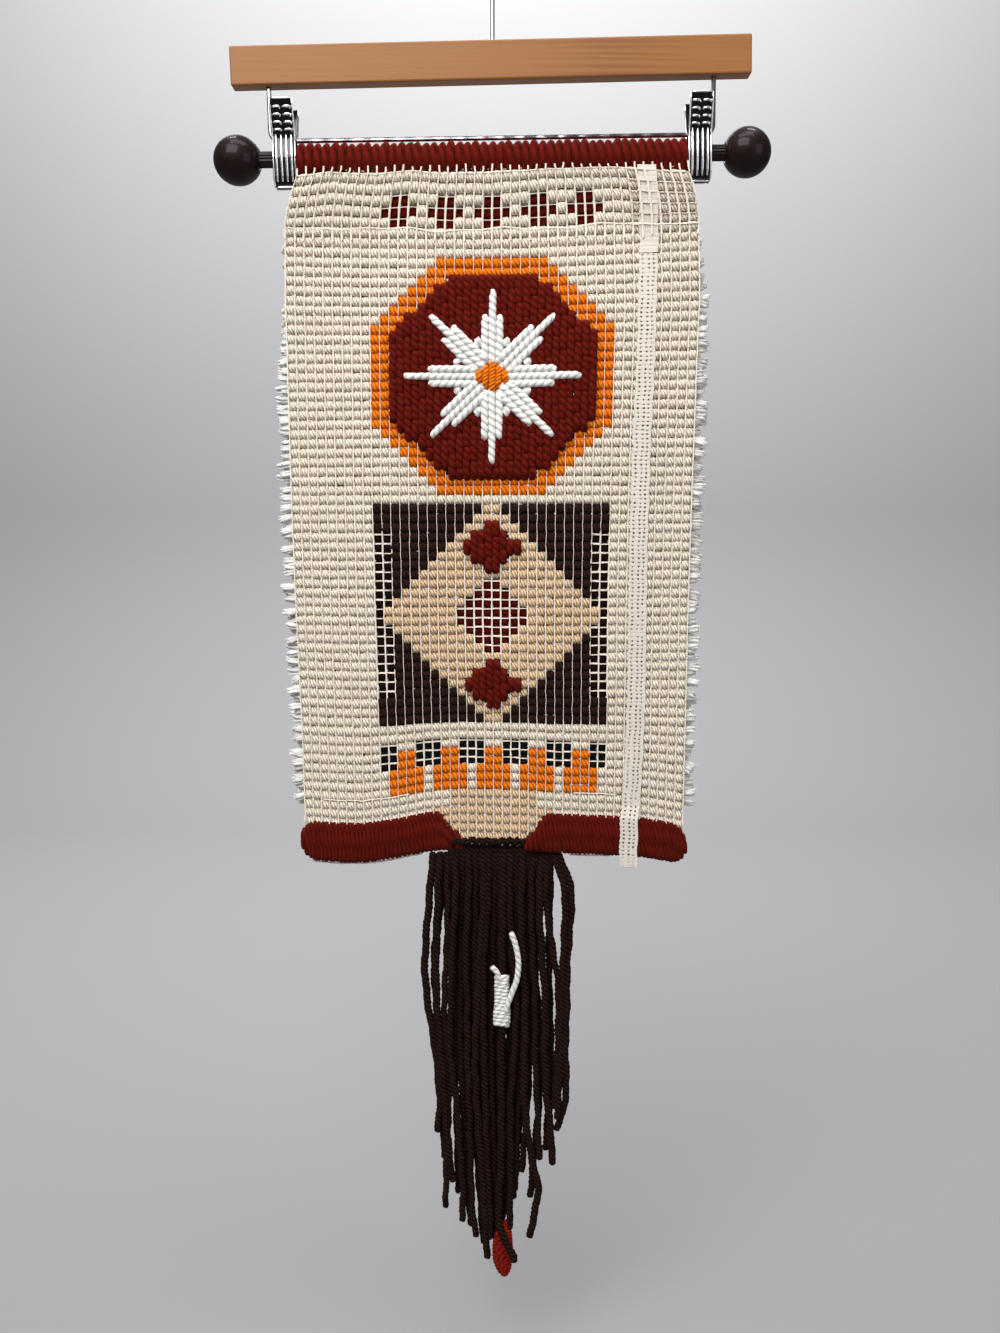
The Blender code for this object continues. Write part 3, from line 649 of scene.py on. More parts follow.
def chrome_finish(name, colour, notches=False):
    metal, smears = plated(name, colour, 0.14, 240.0)
    height = smears * 0.2
    if notches:
        run = metal.parts(metal.own_place())[0]
        painted_notch_highlight = (run * (math.tau / WIRE_NOTCH_SPACING)).wave() ** 3.0
        # Painted highlight: the colour is lightened at each notch, where it catches the light.
        metal.paint(metal.blended(painted_notch_highlight, shades(colour, 0.50), shades(colour, 1.3)))
        height = height + painted_notch_highlight
    metal.bump(height, 0.0003, 0.5)
    return metal.material


def clip_finish():
    metal, smears = plated("clip_chrome", (0.1, 0.1, 0.1), 0.16, 260.0)
    # Painted reflection: the flat sheet is painted dark, as if mirroring a dark room, and the
    # raised bars are painted bright as highlights.
    metal.paint(metal.blended(metal.mapped("raised")[0], CLIP_PAINTED_DARK_REFLECTION, CLIP_PAINTED_HIGHLIGHT))
    metal.bump(smears, 0.0002, 0.3)
    return metal.material


CHROME = chrome_finish("chrome", (0.46, 0.47, 0.49))
WIRE_CHROME = chrome_finish("notched_wire", (0.40, 0.40, 0.42), notches=True)
CLIP_CHROME = clip_finish()

for name, finish in (("hanger_bar", PINE), ("hanger_hook", CHROME), ("trouser_wire", WIRE_CHROME),
                     ("clip_spring_left", CHROME), ("clip_spring_right", CHROME),
                     ("rod", LACQUER)):
    nodes[name].data.materials.clear()
    nodes[name].data.materials.append(finish)
print("finishes", len(bpy.data.materials))

# %% [markdown]
# ## The chart
#
# The canvas has one knot in each cell. The chart below is worked out by rule for each
# column and row, counted from the middle: a row of small motifs, an eight-sided
# medallion with a star, a stepped lozenge between dark corners, and a border of teeth.
# These are traditional shapes of rugs and samplers, and a rule keeps both halves alike.

# %% Rows and columns
COLUMN_COUNT, ROW_COUNT, HEM_ROW_COUNT = 44, 68, 4
CELL_WIDTH = 2 * HALF_WIDTH / COLUMN_COUNT
ROW_HEIGHT = 0.0069
FIRST_ROW_LEVEL = -0.0150


def across_of(column):
    return (column + 0.5 - COLUMN_COUNT / 2) * CELL_WIDTH


def level_of(row):
    return FIRST_ROW_LEVEL - row * ROW_HEIGHT


def row_at(level):
    return round((FIRST_ROW_LEVEL - level) / ROW_HEIGHT)


print("a cell is", round(CELL_WIDTH * 1000, 2), "by", round(ROW_HEIGHT * 1000, 2), "mm")

# %% Motifs of the chart
PANEL_REACH = 12.6
MOTIF_ROW, MOTIF_SPACING, MOTIF_REACH = 3, 5, 2.2
MEDALLION_ROW, MEDALLION_REACH, MEDALLION_RIM = 20, 12.6, 2.0
LOZENGE_ROW, LOZENGE_HEIGHT = 45.5, 13.0
PANEL_ROWS = (34, 57)
TEETH_ROWS, TOOTH_WIDTH = (60, 65), 5


def small_motifs(side, row):
    off = abs((side + 12.5) % MOTIF_SPACING - MOTIF_SPACING / 2) + abs(row - MOTIF_ROW)
    return "open rust" if row < 6 and off < MOTIF_REACH and abs(side) < 12.5 else None


def medallion(side, row):
    """An octagon with a rim. Its middle is stitched over later."""
    up = row - MEDALLION_ROW
    reach = max(abs(side), abs(up), 0.715 * (abs(side) + abs(up)))
    if reach > MEDALLION_REACH:
        return None
    return "orange" if reach > MEDALLION_REACH - MEDALLION_RIM else "stitched"


def lower_panel(side, row):
    """A lozenge with three small diamonds, between dark corners."""
    if abs(side) > PANEL_REACH or not PANEL_ROWS[0] <= row <= PANEL_ROWS[1]:
        return None
    up = row - LOZENGE_ROW
    if abs(side) + abs(up) < 4.2:
        return "open rust"
    if abs(side) + min(abs(up - 7.5), abs(up + 7.5)) < 2.8:
        return "stitched"
    if abs(side) / PANEL_REACH + abs(up) / LOZENGE_HEIGHT < 1:
        return "tan"
    return "open brown" if abs(side) > PANEL_REACH - 1.6 and abs(up) < 9 else "brown"


def teeth(side, row):
    """A border of stepped teeth with dark squares between them."""
    if abs(side) > PANEL_REACH or not TEETH_ROWS[0] <= row <= TEETH_ROWS[1]:
        return None
    off = abs((side + 2.5 * TOOTH_WIDTH) % TOOTH_WIDTH - TOOTH_WIDTH / 2)
    if TEETH_ROWS[1] + 1 - row <= 6.2 - 2.1 * off:
        return "orange"
    return "open black" if off > 1.4 and row < TEETH_ROWS[0] + 3 else None


print("the medallion is", medallion(MEDALLION_REACH, MEDALLION_ROW), "at its rim")

# %% The chart
def cell(column, row):
    """What fills a cell of the canvas."""
    side = column - (COLUMN_COUNT - 1) / 2
    if row >= ROW_COUNT:
        if abs(side) < 7.2 - 0.9 * (row - ROW_COUNT):
            return "tan"
        return "cream" if row == ROW_COUNT else None
    if row > TEETH_ROWS[1] and abs(side) < 6 + 0.5 * (row - ROW_COUNT):
        return "tan"
    return (small_motifs(side, row) or medallion(side, row) or lower_panel(side, row)
            or teeth(side, row) or "cream")


chart = {(column, row): cell(column, row) for column in range(COLUMN_COUNT)
         for row in range(ROW_COUNT + HEM_ROW_COUNT)}
chart = {place: kind for place, kind in chart.items() if kind}
for kind in sorted(set(chart.values())):
    print(kind, sum(kind == other for other in chart.values()), "cells")

# %% [markdown]
# ## The knots
#
# From the canvas side a latch hook knot shows as a short bar of yarn across its cell,
# pinched at both ends by the upright threads. One bar is modelled as a strand that is
# fat in the middle, and it is repeated in every cell with its own small turn and size,
# because no two are pulled equally tight. Three lengths of yarn with the plies in
# different places keep the rows from looking stamped.
#
# Where the cloth leaves the rod its front comes forward, and `forward` says how far.

# %% Knots on the canvas side
KNOT_RADIUS, KNOT_OUT = 0.0034, -0.0003


def forward(level):
    return -0.0066 * step(np.asarray(level, float), -0.0620, -0.0080)


def knot_mesh(name, slide):
    shape = bmesh.new()
    end = CELL_WIDTH / 2 - 0.0002
    path = [(share * end, 0, 0) for share in (-1, -0.80, -0.35, 0.35, 0.80, 1)]
    radii = [KNOT_RADIUS * share for share in (0.50, 0.90, 1.0, 1.0, 0.90, 0.50)]
    strand(shape, path, radii, sides=7, depth=0, flat=0.92, start_taper=1, end_taper=1)
    uv = shape.loops.layers.uv["yarn"]
    for face in shape.faces:
        for loop in face.loops:
            loop[uv].uv.x += slide
    return small_mesh(shape, name)


KNOTS = [knot_mesh(f"knot_{i}", 0.11 * i) for i in range(3)]


def knots(name, kind, colour, out=KNOT_OUT, tall=1.04, wide=1.0, last_row=math.inf):
    """A knot in each cell of one kind, down to the last row."""
    places = []
    for (column, row), found in chart.items():
        if found != kind or row > last_row:
            continue
        spot = Vector((across_of(column) + jitter(0.00015),
                       out + forward(level_of(row)) + jitter(0.0002),
                       level_of(row) + jitter(0.0002)))
        turn = Matrix.Rotation(math.radians(jitter(7.0)), 4, "Y")
        size = Matrix.Diagonal((wide, 1 + jitter(0.10), tall * (1 + jitter(0.06)), 1.0))
        places.append(Matrix.Translation(spot) @ turn @ size)
    piece(name, copies(zip(itertools.cycle(KNOTS), places)), YARNS[colour],
          closed=False)


for colour, tall, wide in (("cream", 1.04, 1.0), ("tan", 1.04, 1.0), ("brown", 1.14, 1.28),
                           ("orange", 1.06, 1.28)):
    knots("knots_" + colour, colour, colour, tall=tall, wide=wide)

# %% [markdown]
# In a few places the mesh is left open. The yarn there lies behind the threads, so the
# threads show as a pale grid on a dark ground. Behind the flap's first rows there is yarn
# too, or daylight would show between them.

# %% Yarn behind the open places
BEHIND_THE_MESH = 0.0036
for colour in ("black", "brown", "rust"):
    knots("backing_" + colour, "open " + colour, colour, BEHIND_THE_MESH, 1.2)
knots("backing_cream", "cream", "cream", BEHIND_THE_MESH, 1.2, last_row=3)

# %% [markdown]
# ## The canvas
#
# Latch hook canvas is an open cotton mesh with one hole to a knot. A grid of faces is
# inset and its inner faces are taken away, which leaves the threads. Moving the grid's
# own corners forward gives each thread a round back, and a Solidify modifier gives it
# thickness later.

# %% Open meshes
THREAD_ROUNDING = 0.00030


def add_mesh_layer(shape, columns, lines, half_width, wave=0.0001, holes=None):
    """An open mesh. columns are places across, and lines are (out, level) pairs. out is
    a number or a function of the place across. With holes, only every other row of those
    columns is open."""
    across_count, line_count = len(columns) - 1, len(lines) - 1
    verts = bmesh.ops.create_grid(shape, x_segments=across_count, y_segments=line_count,
                                  size=0.5)["verts"]
    faces = dict.fromkeys(face for vert in verts for face in vert.link_faces)
    if holes is not None:
        middles = {face: face.calc_center_median() for face in faces}
        faces = [face for face, middle in middles.items()
                 if math.floor((middle.x + 0.5) * across_count) in holes
                 and math.floor((0.5 - middle.y) * line_count) % 2 == 0]
    for vert in verts:
        across = columns[round((vert.co.x + 0.5) * across_count)]
        out, level = lines[round((0.5 - vert.co.y) * line_count)]
        out = out(across) if callable(out) else out
        vert.co = (across + jitter(wave), out, level + jitter(wave))
    faces = list(faces)
    bmesh.ops.inset_individual(shape, faces=faces, thickness=half_width)
    for vert in verts:
        vert.co.y -= THREAD_ROUNDING
    bmesh.ops.delete(shape, geom=faces, context="FACES")


print("threads rise", THREAD_ROUNDING * 1000, "mm in their middle")

# %% [markdown]
# The upright threads press forward between the knots, so they are laid on as strips of
# their own. A strip is a narrow grid, two faces wide, with its middle line moved forward.

# %% Single threads
FULL_HALF_WIDTH = 0.00046
ACROSS, UP = Vector((1, 0, 0)), Vector((0, 0, 1))


def add_thread(shape, path, half_width, side):
    """A thread as a narrow strip with a ridge along its middle, lower on a thin thread.
    half_width is one number or one for each point, and side is the direction across it."""
    steps = len(path) - 1
    half_widths = np.broadcast_to(half_width, len(path))
    for vert in bmesh.ops.create_grid(shape, x_segments=2, y_segments=steps, size=0.5)["verts"]:
        off, place = 2 * vert.co.x, round((0.5 - vert.co.y) * steps)
        half = float(half_widths[place])
        height = THREAD_ROUNDING * min(1, (half / FULL_HALF_WIDTH) ** 2)
        ridge = Vector((0, height * (1 - abs(off)), 0))
        vert.co = Vector(path[place]) + off * half * side - ridge


print("a full thread is", round(2 * FULL_HALF_WIDTH * 1000, 2), "mm wide")

# %% [markdown]
# How much of an upright thread shows depends on how tightly the yarn beside it was
# pulled, and `UPRIGHTS` gives that for each colour of yarn.

# %% How the upright threads show
UPRIGHTS = {
    # how far forward, half width
    "cream": (-0.0034, 0.00041),
    "tan": (-0.0033, 0.00040),
    "brown": (-0.0035, 0.00017),
    "orange": (-0.0034, 0.00016),
}
OPEN_UPRIGHT = (-0.0014, FULL_HALF_WIDTH)


def upright_at(line, level):
    """How far forward an upright thread lies at a level, and its half width."""
    kinds = [chart.get((column, row_at(level))) for column in (line - 1, line)]
    found = [UPRIGHTS.get(kind, OPEN_UPRIGHT) for kind in kinds if kind]
    out, half_width = np.mean(found or [UPRIGHTS["cream"]], axis=0)
    return out + float(forward(level)), half_width


print("left edge, halfway down", np.round(upright_at(0, level_of(ROW_COUNT / 2)), 5))

# %% [markdown]
# The sheet starts in front of the rod, runs over its top and down behind it, and hangs
# down from there to the hem. Its cross threads run inside the knots, under their upper
# edges. The upright threads waver a little. Near the bottom hem one more thread lies
# across them on each side.

# %% The open mesh
CASING_LINES = [(-0.0056, -0.0100), (-0.0060, 0.0), (-0.0042, 0.0042), (0.0, 0.0060),
                (0.0042, 0.0042), (0.0060, 0.0), (0.0042, -0.0100), (0.0010, -0.0170)]
PANEL_OUT = -0.0006
LOWER_EDGE = (0.0, -0.5115)
HEM_THREAD_SPANS = ((-0.1330, -0.0640), (0.0620, 0.0960))
HEM_THREAD_OUT, HEM_THREAD_LEVEL = -0.0031, level_of(ROW_COUNT - 2.6)
MIDDLE, MIDDLE_EDGE, HEM_EDGE = 0.045, -0.5105, -0.4845
column_lines = [across_of(i - 0.5) for i in range(COLUMN_COUNT + 1)]
flap_top = level_of(-0.3)

canvas_shape = bmesh.new()
panel_lines = [(PANEL_OUT + float(forward(level_of(row))), level_of(row))
               for row in np.arange(0.7, ROW_COUNT + HEM_ROW_COUNT - 0.9)]
add_mesh_layer(canvas_shape, column_lines, CASING_LINES + panel_lines + [LOWER_EDGE],
               FULL_HALF_WIDTH)
for line, across in enumerate(column_lines):
    end = MIDDLE_EDGE if abs(across) < MIDDLE else HEM_EDGE
    sway, path, half_widths = jitter(math.pi), [], []
    for level in (*np.arange(flap_top, end, -ROW_HEIGHT), end):
        out, half_width = upright_at(line, level)
        path.append((across + 0.00022 * math.sin(sway + level * 400) + jitter(0.00012),
                     out + jitter(0.0002), level))
        half_widths.append(half_width)
    add_thread(canvas_shape, path, half_widths, ACROSS)
for first, last in HEM_THREAD_SPANS:
    path = [(across, HEM_THREAD_OUT, HEM_THREAD_LEVEL + jitter(0.0003))
            for across in np.arange(first, last, CELL_WIDTH / 2)]
    add_thread(canvas_shape, path, FULL_HALF_WIDTH, UP)
print("upright threads", len(column_lines))

# %% [markdown]
# At the flap the yarn is hooked through two layers, so the flap's own threads show only
# along its two edges, over the selvage and to the right of it. The flap was cut just
# under a cross thread, so its upright threads end as stubs about nine millimetres long.
# At the top the same threads poke up over the rust yarn.

# %% The flap and the cut ends of the canvas
FLAP_HALF_WIDTH, FLAP_OUT, FLAP_ROWS = 0.00052, -0.0031, 6
SELVAGE_MIDDLE = 0.1100
FLAP_MESH_SPAN = (-0.0110, 0.0380)
CASING_FRONT, HEM_FRONT = -0.0108, -0.0056
flap_last = level_of(FLAP_ROWS - 1.3)


def flap_out(level):
    """The flap is pressed flat on the knots, and rides up over the selvage."""
    def out(across):
        over_selvage = 1 - step(abs(across - SELVAGE_MIDDLE), 0.0065, 0.0110)
        return FLAP_OUT + forward(level) - 0.0011 * over_selvage
    return out


def add_stub(across, top, bottom, out, half_width=0.0006):
    drift = jitter(0.0009)
    path = [(across + drift * share * share, out, top + (bottom - top) * share)
            for share in (0.0, 0.5, 1.0)]
    add_thread(canvas_shape, path, half_width, ACROSS)


flap_columns = [across for across in column_lines
                if FLAP_MESH_SPAN[0] < across - SELVAGE_MIDDLE < FLAP_MESH_SPAN[1]]
flap_lines = [(flap_out(level_of(row)), level_of(row)) for row in np.arange(-0.3, FLAP_ROWS - 1)]
add_mesh_layer(canvas_shape, flap_columns, flap_lines, FLAP_HALF_WIDTH, wave=0.0002)
for level, loose in ((flap_top, 0.3), (flap_last, 1.0)):
    path = []
    for across in np.arange(column_lines[0], column_lines[-1], CELL_WIDTH / 3):
        wave = 0.0010 * math.sin(across * 78 + 1.2) + 0.0005 * math.sin(across * 190)
        path.append((across, flap_out(level)(across) + jitter(0.0001), level + loose * wave))
    add_thread(canvas_shape, path, FLAP_HALF_WIDTH, UP)

for across in column_lines:
    add_stub(across, flap_last, flap_last - 0.0085 + jitter(0.0012), flap_out(flap_last)(across))
    add_stub(across, flap_top + 0.0042 + jitter(0.0010), flap_top, CASING_FRONT)
    if abs(across) > MIDDLE:
        add_stub(across, -0.4800, -0.4838 + jitter(0.0006), HEM_FRONT, 0.0004)
print("flap", round((flap_top - flap_last) * 1000), "mm long")

# %% [markdown]
# The right-hand hem ends in the canvas's woven selvage: a dense strip with three columns
# of tiny holes, and none where the flap's own selvage lies on it. It runs on over the yarn
# of the bottom hem and is cut off there. Its left edge is scalloped by the threads that
# turn back there.

# %% Selvage and canvas as pieces
# level, middle, out
SELVAGE_LINE = millimetres(
    (-522.5, 104.0, -7.4), (-484, 104.3, -7.4), (-474, 105.5, -4.2), (-445, 107.2, -3.7),
    (-390, 108.6, -3.7), (-276, 108.1, -3.7), (-200, 109.5, -3.7), (-140, 111.5, -3.7),
    (-60, 112.5, -3.7), (-30, 111.0, -3.7), (-10, 109.0, -3.6))
SELVAGE_COLUMNS = [-0.0068, -0.0048, -0.0033, -0.0004, 0.0011, 0.0030, 0.0045, 0.0068]
SELVAGE_SCALLOP, SELVAGE_HALF_WIDTH, HOLE_ROW = 0.0044, 0.00034, 0.0014
SELVAGE_TOP, DENSE_TO, SELVAGE_END = -0.0100, -0.0676, -0.5225

selvage_shape = bmesh.new()
for first, last, holes in ((SELVAGE_TOP, DENSE_TO, ()),
                           (DENSE_TO - 0.0005, SELVAGE_END, (1, 3, 5))):
    lines = [(0.0, level - down) for level in np.arange(first, last, -SELVAGE_ROW)
             for down in (0.0, HOLE_ROW)]
    add_mesh_layer(selvage_shape, SELVAGE_COLUMNS, lines, SELVAGE_HALF_WIDTH, holes=holes)
for vert in selvage_shape.verts:
    level = vert.co.z
    left, right = edges_at(level)
    scallop = math.cos(math.tau * level / SELVAGE_SCALLOP) if vert.co.x < -0.0055 else 0.0
    x = (reading(SELVAGE_LINE, level, 1) + vert.co.x + 0.0003 * math.sin(level * 300)
         - 0.0004 * scallop)
    vert.co.x = (x - (left + right) / 2) / ((right - left) / 2) * HALF_WIDTH
    vert.co.y += reading(SELVAGE_LINE, level, 2) + float(forward(level))


def sheet_piece(name, shape, finish, thickness, replaces=()):
    made = piece(name, shape, finish, replaces, closed=False)
    thicken = made.modifiers.new("thickness", "SOLIDIFY")
    thicken.thickness = thickness
    thicken.offset = -1.0
    return made


canvas = sheet_piece("canvas_mesh", canvas_shape, COTTON, 0.0008, replaces=("canvas",))
selvage = sheet_piece("selvage", selvage_shape, SELVAGE_COTTON, 0.0007)

# %% [markdown]
# ## Rust yarn over the rod and the hem
#
# Rust yarn is wound over the casing, loop beside loop, and hides the canvas there. Each
# loop is the same plied strand bent round the rod, and plainer loops below them fill the
# gaps.

# %% Yarn over the rod
HEADER_YARN_RADIUS, FILLER_YARN_RADIUS, FILLER_SIZE = 0.0034, 0.0026, 0.80
HEADER_HALF_WIDTH, HEADER_LOOP_COUNT = 0.1462, 47
# how far out, level
HEADER_LOOP = [(-0.0015, -0.0125), (-0.0050, -0.0105), (-0.0069, -0.0055), (-0.0071, 0.0),
               (-0.0053, 0.0050), (0.0, 0.0071), (0.0053, 0.0050), (0.0071, 0.0),
               (0.0069, -0.0055), (0.0050, -0.0105), (0.0015, -0.0125)]

header_shape = bmesh.new()
header_places = np.linspace(-HEADER_HALF_WIDTH, HEADER_HALF_WIDTH, HEADER_LOOP_COUNT)
for across in header_places:
    lean, swell = jitter(0.0015), 1 + jitter(0.04)
    loop = [(across + lean * level * 60 + jitter(0.0002), out * swell, level * swell)
            for out, level in HEADER_LOOP]
    strand(header_shape, curved(loop, 0.0016), HEADER_YARN_RADIUS * (1 + jitter(0.10)),
           sides=12, twist=WRAP_TWIST, depth=0.24)
for across in (header_places[1:] + header_places[:-1]) / 2:
    loop = [(across, FILLER_SIZE * out, FILLER_SIZE * level) for out, level in HEADER_LOOP]
    strand(header_shape, curved(loop, 0.0030), FILLER_YARN_RADIUS, sides=7, twist=WRAP_TWIST,
           depth=0)
piece("header_yarn", header_shape, YARNS["rust"], replaces=("header_wrap",))

# %% [markdown]
# The bottom hem is wrapped in the same way on both sides of the fringe. The yarn is pulled
# flat there, so the loops are thinner and closer. They lean, and they get shorter towards
# the middle.

# %% Yarn over the bottom hem
HEM_YARN_RADIUS, HEM_LOOP_COUNT = 0.0021, 41
HEM_TOP, HEM_TIP_TOP, HEM_BOTTOM = -0.4838, -0.5040, -0.5138
HEM_SHARES, HEM_CORNER = (0.180, 1.014), 0.08
# how far out, share of the way down
HEM_LOOP = [(-0.0006, 0.0), (-0.0034, 0.05), (-0.0046, 0.22), (-0.0049, 0.5),
            (-0.0046, 0.78), (-0.0031, 0.95), (0.0, 1.0), (0.0031, 0.95), (0.0046, 0.78),
            (0.0049, 0.5), (0.0046, 0.22), (0.0034, 0.05), (0.0006, 0.0)]


def hem_yarn(name, side, leans, replaces):
    """leans are how far the loops lean, from the middle of the hem to its end."""
    shape = bmesh.new()
    for share in np.linspace(*HEM_SHARES, HEM_LOOP_COUNT):
        top = HEM_TOP + (HEM_TIP_TOP - HEM_TOP) * float(step(-share, -0.290, -0.170))
        middle = (top + HEM_BOTTOM) / 2
        corner = max(0.0, (share - HEM_SHARES[1] + HEM_CORNER) / HEM_CORNER)
        squeeze = math.sqrt(1 - 0.80 * corner ** 2)
        top, bottom = (middle + (level - middle) * squeeze for level in (top, HEM_BOTTOM))
        lean = float(np.interp(share, (0.17, 0.36, 0.60, 1.0), leans)) + jitter(0.0009)
        swell = 1 + jitter(0.10)
        loop = []
        for out, drop in HEM_LOOP:
            across = side * share * HALF_WIDTH + lean * (0.5 - drop) * (top - bottom) / 0.030
            loop.append((across + jitter(0.0003), out * swell, top + (bottom - top) * drop))
        strand(shape, curved(loop, 0.0021), HEM_YARN_RADIUS * (1 + jitter(0.12)),
               sides=9, twist=1.6, depth=0.16)
    piece(name, shape, YARNS["rust"], replaces=(replaces,))


hem_yarn("hem_yarn_left", -1, (-0.0090, -0.0030, 0.0030, 0.0010), "hem_wrap_left")
hem_yarn("hem_yarn_right", 1, (0.0070, -0.0020, -0.0040, -0.0040), "hem_wrap_right")

# %% [markdown]
# Just under the wrapped hem a thread of the canvas shows as a fine pale line, with a
# little lump at each upright thread.

# %% Thread along the lower edge
edge_shape = bmesh.new()
for first, last in ((-0.1465, -0.0560), (0.0600, 0.0930)):
    path = [(across, 0.0006, HEM_BOTTOM - 0.0027 + 0.0003 * math.sin(across * 160))
            for across in np.arange(first, last, 0.0011)]
    radii = [0.0006 + 0.0004 * abs(math.cos(math.pi * x / CELL_WIDTH)) ** 6 for x, _, _ in path]
    strand(edge_shape, path, radii, sides=6, depth=0)
piece("hem_thread", edge_shape, COTTON)

# %% [markdown]
# ## The star
#
# The medallion's middle is worked in long stitches of loose yarn, and so are two of the
# small diamonds. Each stitch is a strand that dives into the canvas at both ends.

# %% A long stitch
def add_stitch(shape, start, end, radius, out):
    start, end = np.array(start, float), np.array(end, float)
    length = np.linalg.norm(end - start)
    tuck = min(0.0012, length / 5)
    marks = [(0, 0.0010), (tuck, 0.55 * out), (2.3 * tuck, out), (length / 2, out - 0.0005),
             (length - 2.3 * tuck, out), (length - tuck, 0.55 * out), (length, 0.0010)]
    path = []
    for along, height in marks:
        across, level = start + (end - start) * along / length
        path.append((across + jitter(0.0002), height, level))
    strand(shape, curved(path, 0.0017, 5), radius * (1 + jitter(0.05)), sides=10,
           twist=STITCH_TWIST, depth=0.18)


print("a stitch passes", STITCH_TWIST, "plies in each centimetre")

# %% [markdown]
# Upright rust stitches fill the ground. Each is no longer than a finger is wide, and they
# start at other heights in each column, so that no seam runs across.

# %% The rust ground
GROUND_SPACING, GROUND_LENGTH = 0.0053, 0.025
GROUND_RADIUS, GROUND_OUT = 0.0032, -0.0040
STAR_TIP, STAR_SLOPE, STAR_WIDTH = 0.062, 3.2, 0.0115
UNDER_THE_STAR = 0.0030
MEDALLION_LEVEL = level_of(MEDALLION_ROW)


def star_reach(x, z):
    """How far a place is inside the star, in metres; it is outside below 0."""
    reach, turn = math.hypot(x, z), math.atan2(z, x) % (math.pi / 4)
    turn = min(turn, math.pi / 4 - turn)
    along, off = reach * math.cos(turn), reach * math.sin(turn)
    return min((STAR_TIP - along) / STAR_SLOPE, STAR_WIDTH) - off


def in_ground(across, level):
    column = math.floor(across / CELL_WIDTH + COLUMN_COUNT / 2)
    if chart.get((column, row_at(level))) != "stitched":
        return False
    return (star_reach(across, level - MEDALLION_LEVEL) < UNDER_THE_STAR
            or row_at(level) > PANEL_ROWS[0])


def ground_spans(across):
    """The stretches of an upright line that are ground, as (top, bottom) levels."""
    spans, start = [], None
    for level in np.arange(level_of(6), level_of(58), -0.0008):
        if in_ground(across, level) and start is None:
            start = level
        elif start is not None and not in_ground(across, level):
            spans.append((start, level))
            start = None
    return spans


rust_shape = bmesh.new()
for i, across in enumerate(np.arange(-0.0870, 0.0880, GROUND_SPACING)):
    for top, bottom in ground_spans(across):
        top, bottom = top + 0.0008, bottom - 0.0008
        first = GROUND_LENGTH * (math.ceil(top / GROUND_LENGTH) - i * 0.4 % 1)
        cuts = [level for level in np.arange(first, bottom, -GROUND_LENGTH)
                if bottom + 0.006 < level < top - 0.006]
        for upper, lower in zip([top] + cuts, cuts + [bottom]):
            if upper - lower > 0.004:
                add_stitch(rust_shape, (across, upper + 0.0005), (across, lower - 0.0005),
                           GROUND_RADIUS, GROUND_OUT)
piece("rust_stitches", rust_shape, STITCH_RUST)

# %% [markdown]
# Eight points of white stitches lie on top and make the star. In each point the outer
# stitches come first and the long middle one last. A small orange heart covers the
# middle, where all the points meet.

# %% The star and its heart
STAR_HEART, STAR_OFFS = 0.010, (-0.0106, 0.0106, -0.0053, 0.0053, 0.0)
HEART_HALF, HEART_OFFS = 0.0120, (-0.0094, 0.0094, -0.0047, 0.0047, 0.0)

white_shape, heart_shape = bmesh.new(), bmesh.new()
for point in range(8):
    axis = np.array((math.cos(point * math.pi / 4), math.sin(point * math.pi / 4)))
    side = np.array((-axis[1], axis[0]))
    for off in STAR_OFFS:
        first = max(STAR_HEART, 2.3 * abs(off)) - 0.002
        last = STAR_TIP - STAR_SLOPE * abs(off) + jitter(0.0012)
        ends = [np.array((0, MEDALLION_LEVEL)) + axis * along + side * off
                for along in (first, last)]
        add_stitch(white_shape, *ends, 0.0030, -0.0056)
for off in HEART_OFFS:
    half = HEART_HALF - 0.75 * abs(off)
    add_stitch(heart_shape, (off, MEDALLION_LEVEL + half), (off, MEDALLION_LEVEL - half),
               0.0027, -0.0066)
piece("white_stitches", white_shape, YARNS["white"])
piece("heart_stitches", heart_shape, YARNS["orange"])

# %% [markdown]
# ## The pile
#
# On the far side each knot's two ends stand up as cut pile, nearly two centimetres deep.
# A tuft is a plain little strand that gets fatter towards its cut end. Thousands of them
# are needed, so a tuft has only a few dozen triangles. At the edges they lean outwards.

# %% Cut pile
PILE_LENGTH, PILE_FOOT = 0.0180, 0.0012
TUFT_RADII = (0.0011, 0.0020, 0.0027, 0.0024)


def pile_colour(column, row):
    kind = chart[column, row]
    if kind != "stitched":
        return kind.removeprefix("open ")
    in_star = star_reach(across_of(column), level_of(row) - MEDALLION_LEVEL) > 0
    return "white" if in_star and row < PANEL_ROWS[0] else "rust"


def tuft_mesh():
    shape = bmesh.new()
    path = [(0, share * PILE_LENGTH, 0) for share in (0, 0.35, 0.75, 1.0)]
    strand(shape, path, TUFT_RADII, sides=5, depth=0, start_taper=1, end_taper=1)
    return small_mesh(shape, "tuft")


def tuft_place(column, row, side):
    edge = abs(column - (COLUMN_COUNT - 1) / 2) - (COLUMN_COUNT / 2 - 3.5)
    fan = 0.03 + 0.06 * float(step(row, 8, 22))
    sideways = math.copysign(max(0.0, edge) ** 1.6 * fan, column - COLUMN_COUNT / 2)
    lean = Vector((sideways + jitter(0.22), 1.0, -0.10 + jitter(0.22)))
    turn = Vector((0, 1, 0)).rotation_difference(lean).to_matrix().to_4x4()
    spot = Vector((across_of(column) + side * 0.0017 + jitter(0.0006), PILE_FOOT,
                   level_of(row) + jitter(0.0009)))
    length = (1.0 - 0.06 * max(0.0, edge)) * (1 + jitter(0.09))
    spin = Matrix.Rotation(jitter(math.pi), 4, "Y")
    return Matrix.Translation(spot) @ turn @ Matrix.Diagonal((1, length, 1, 1)) @ spin


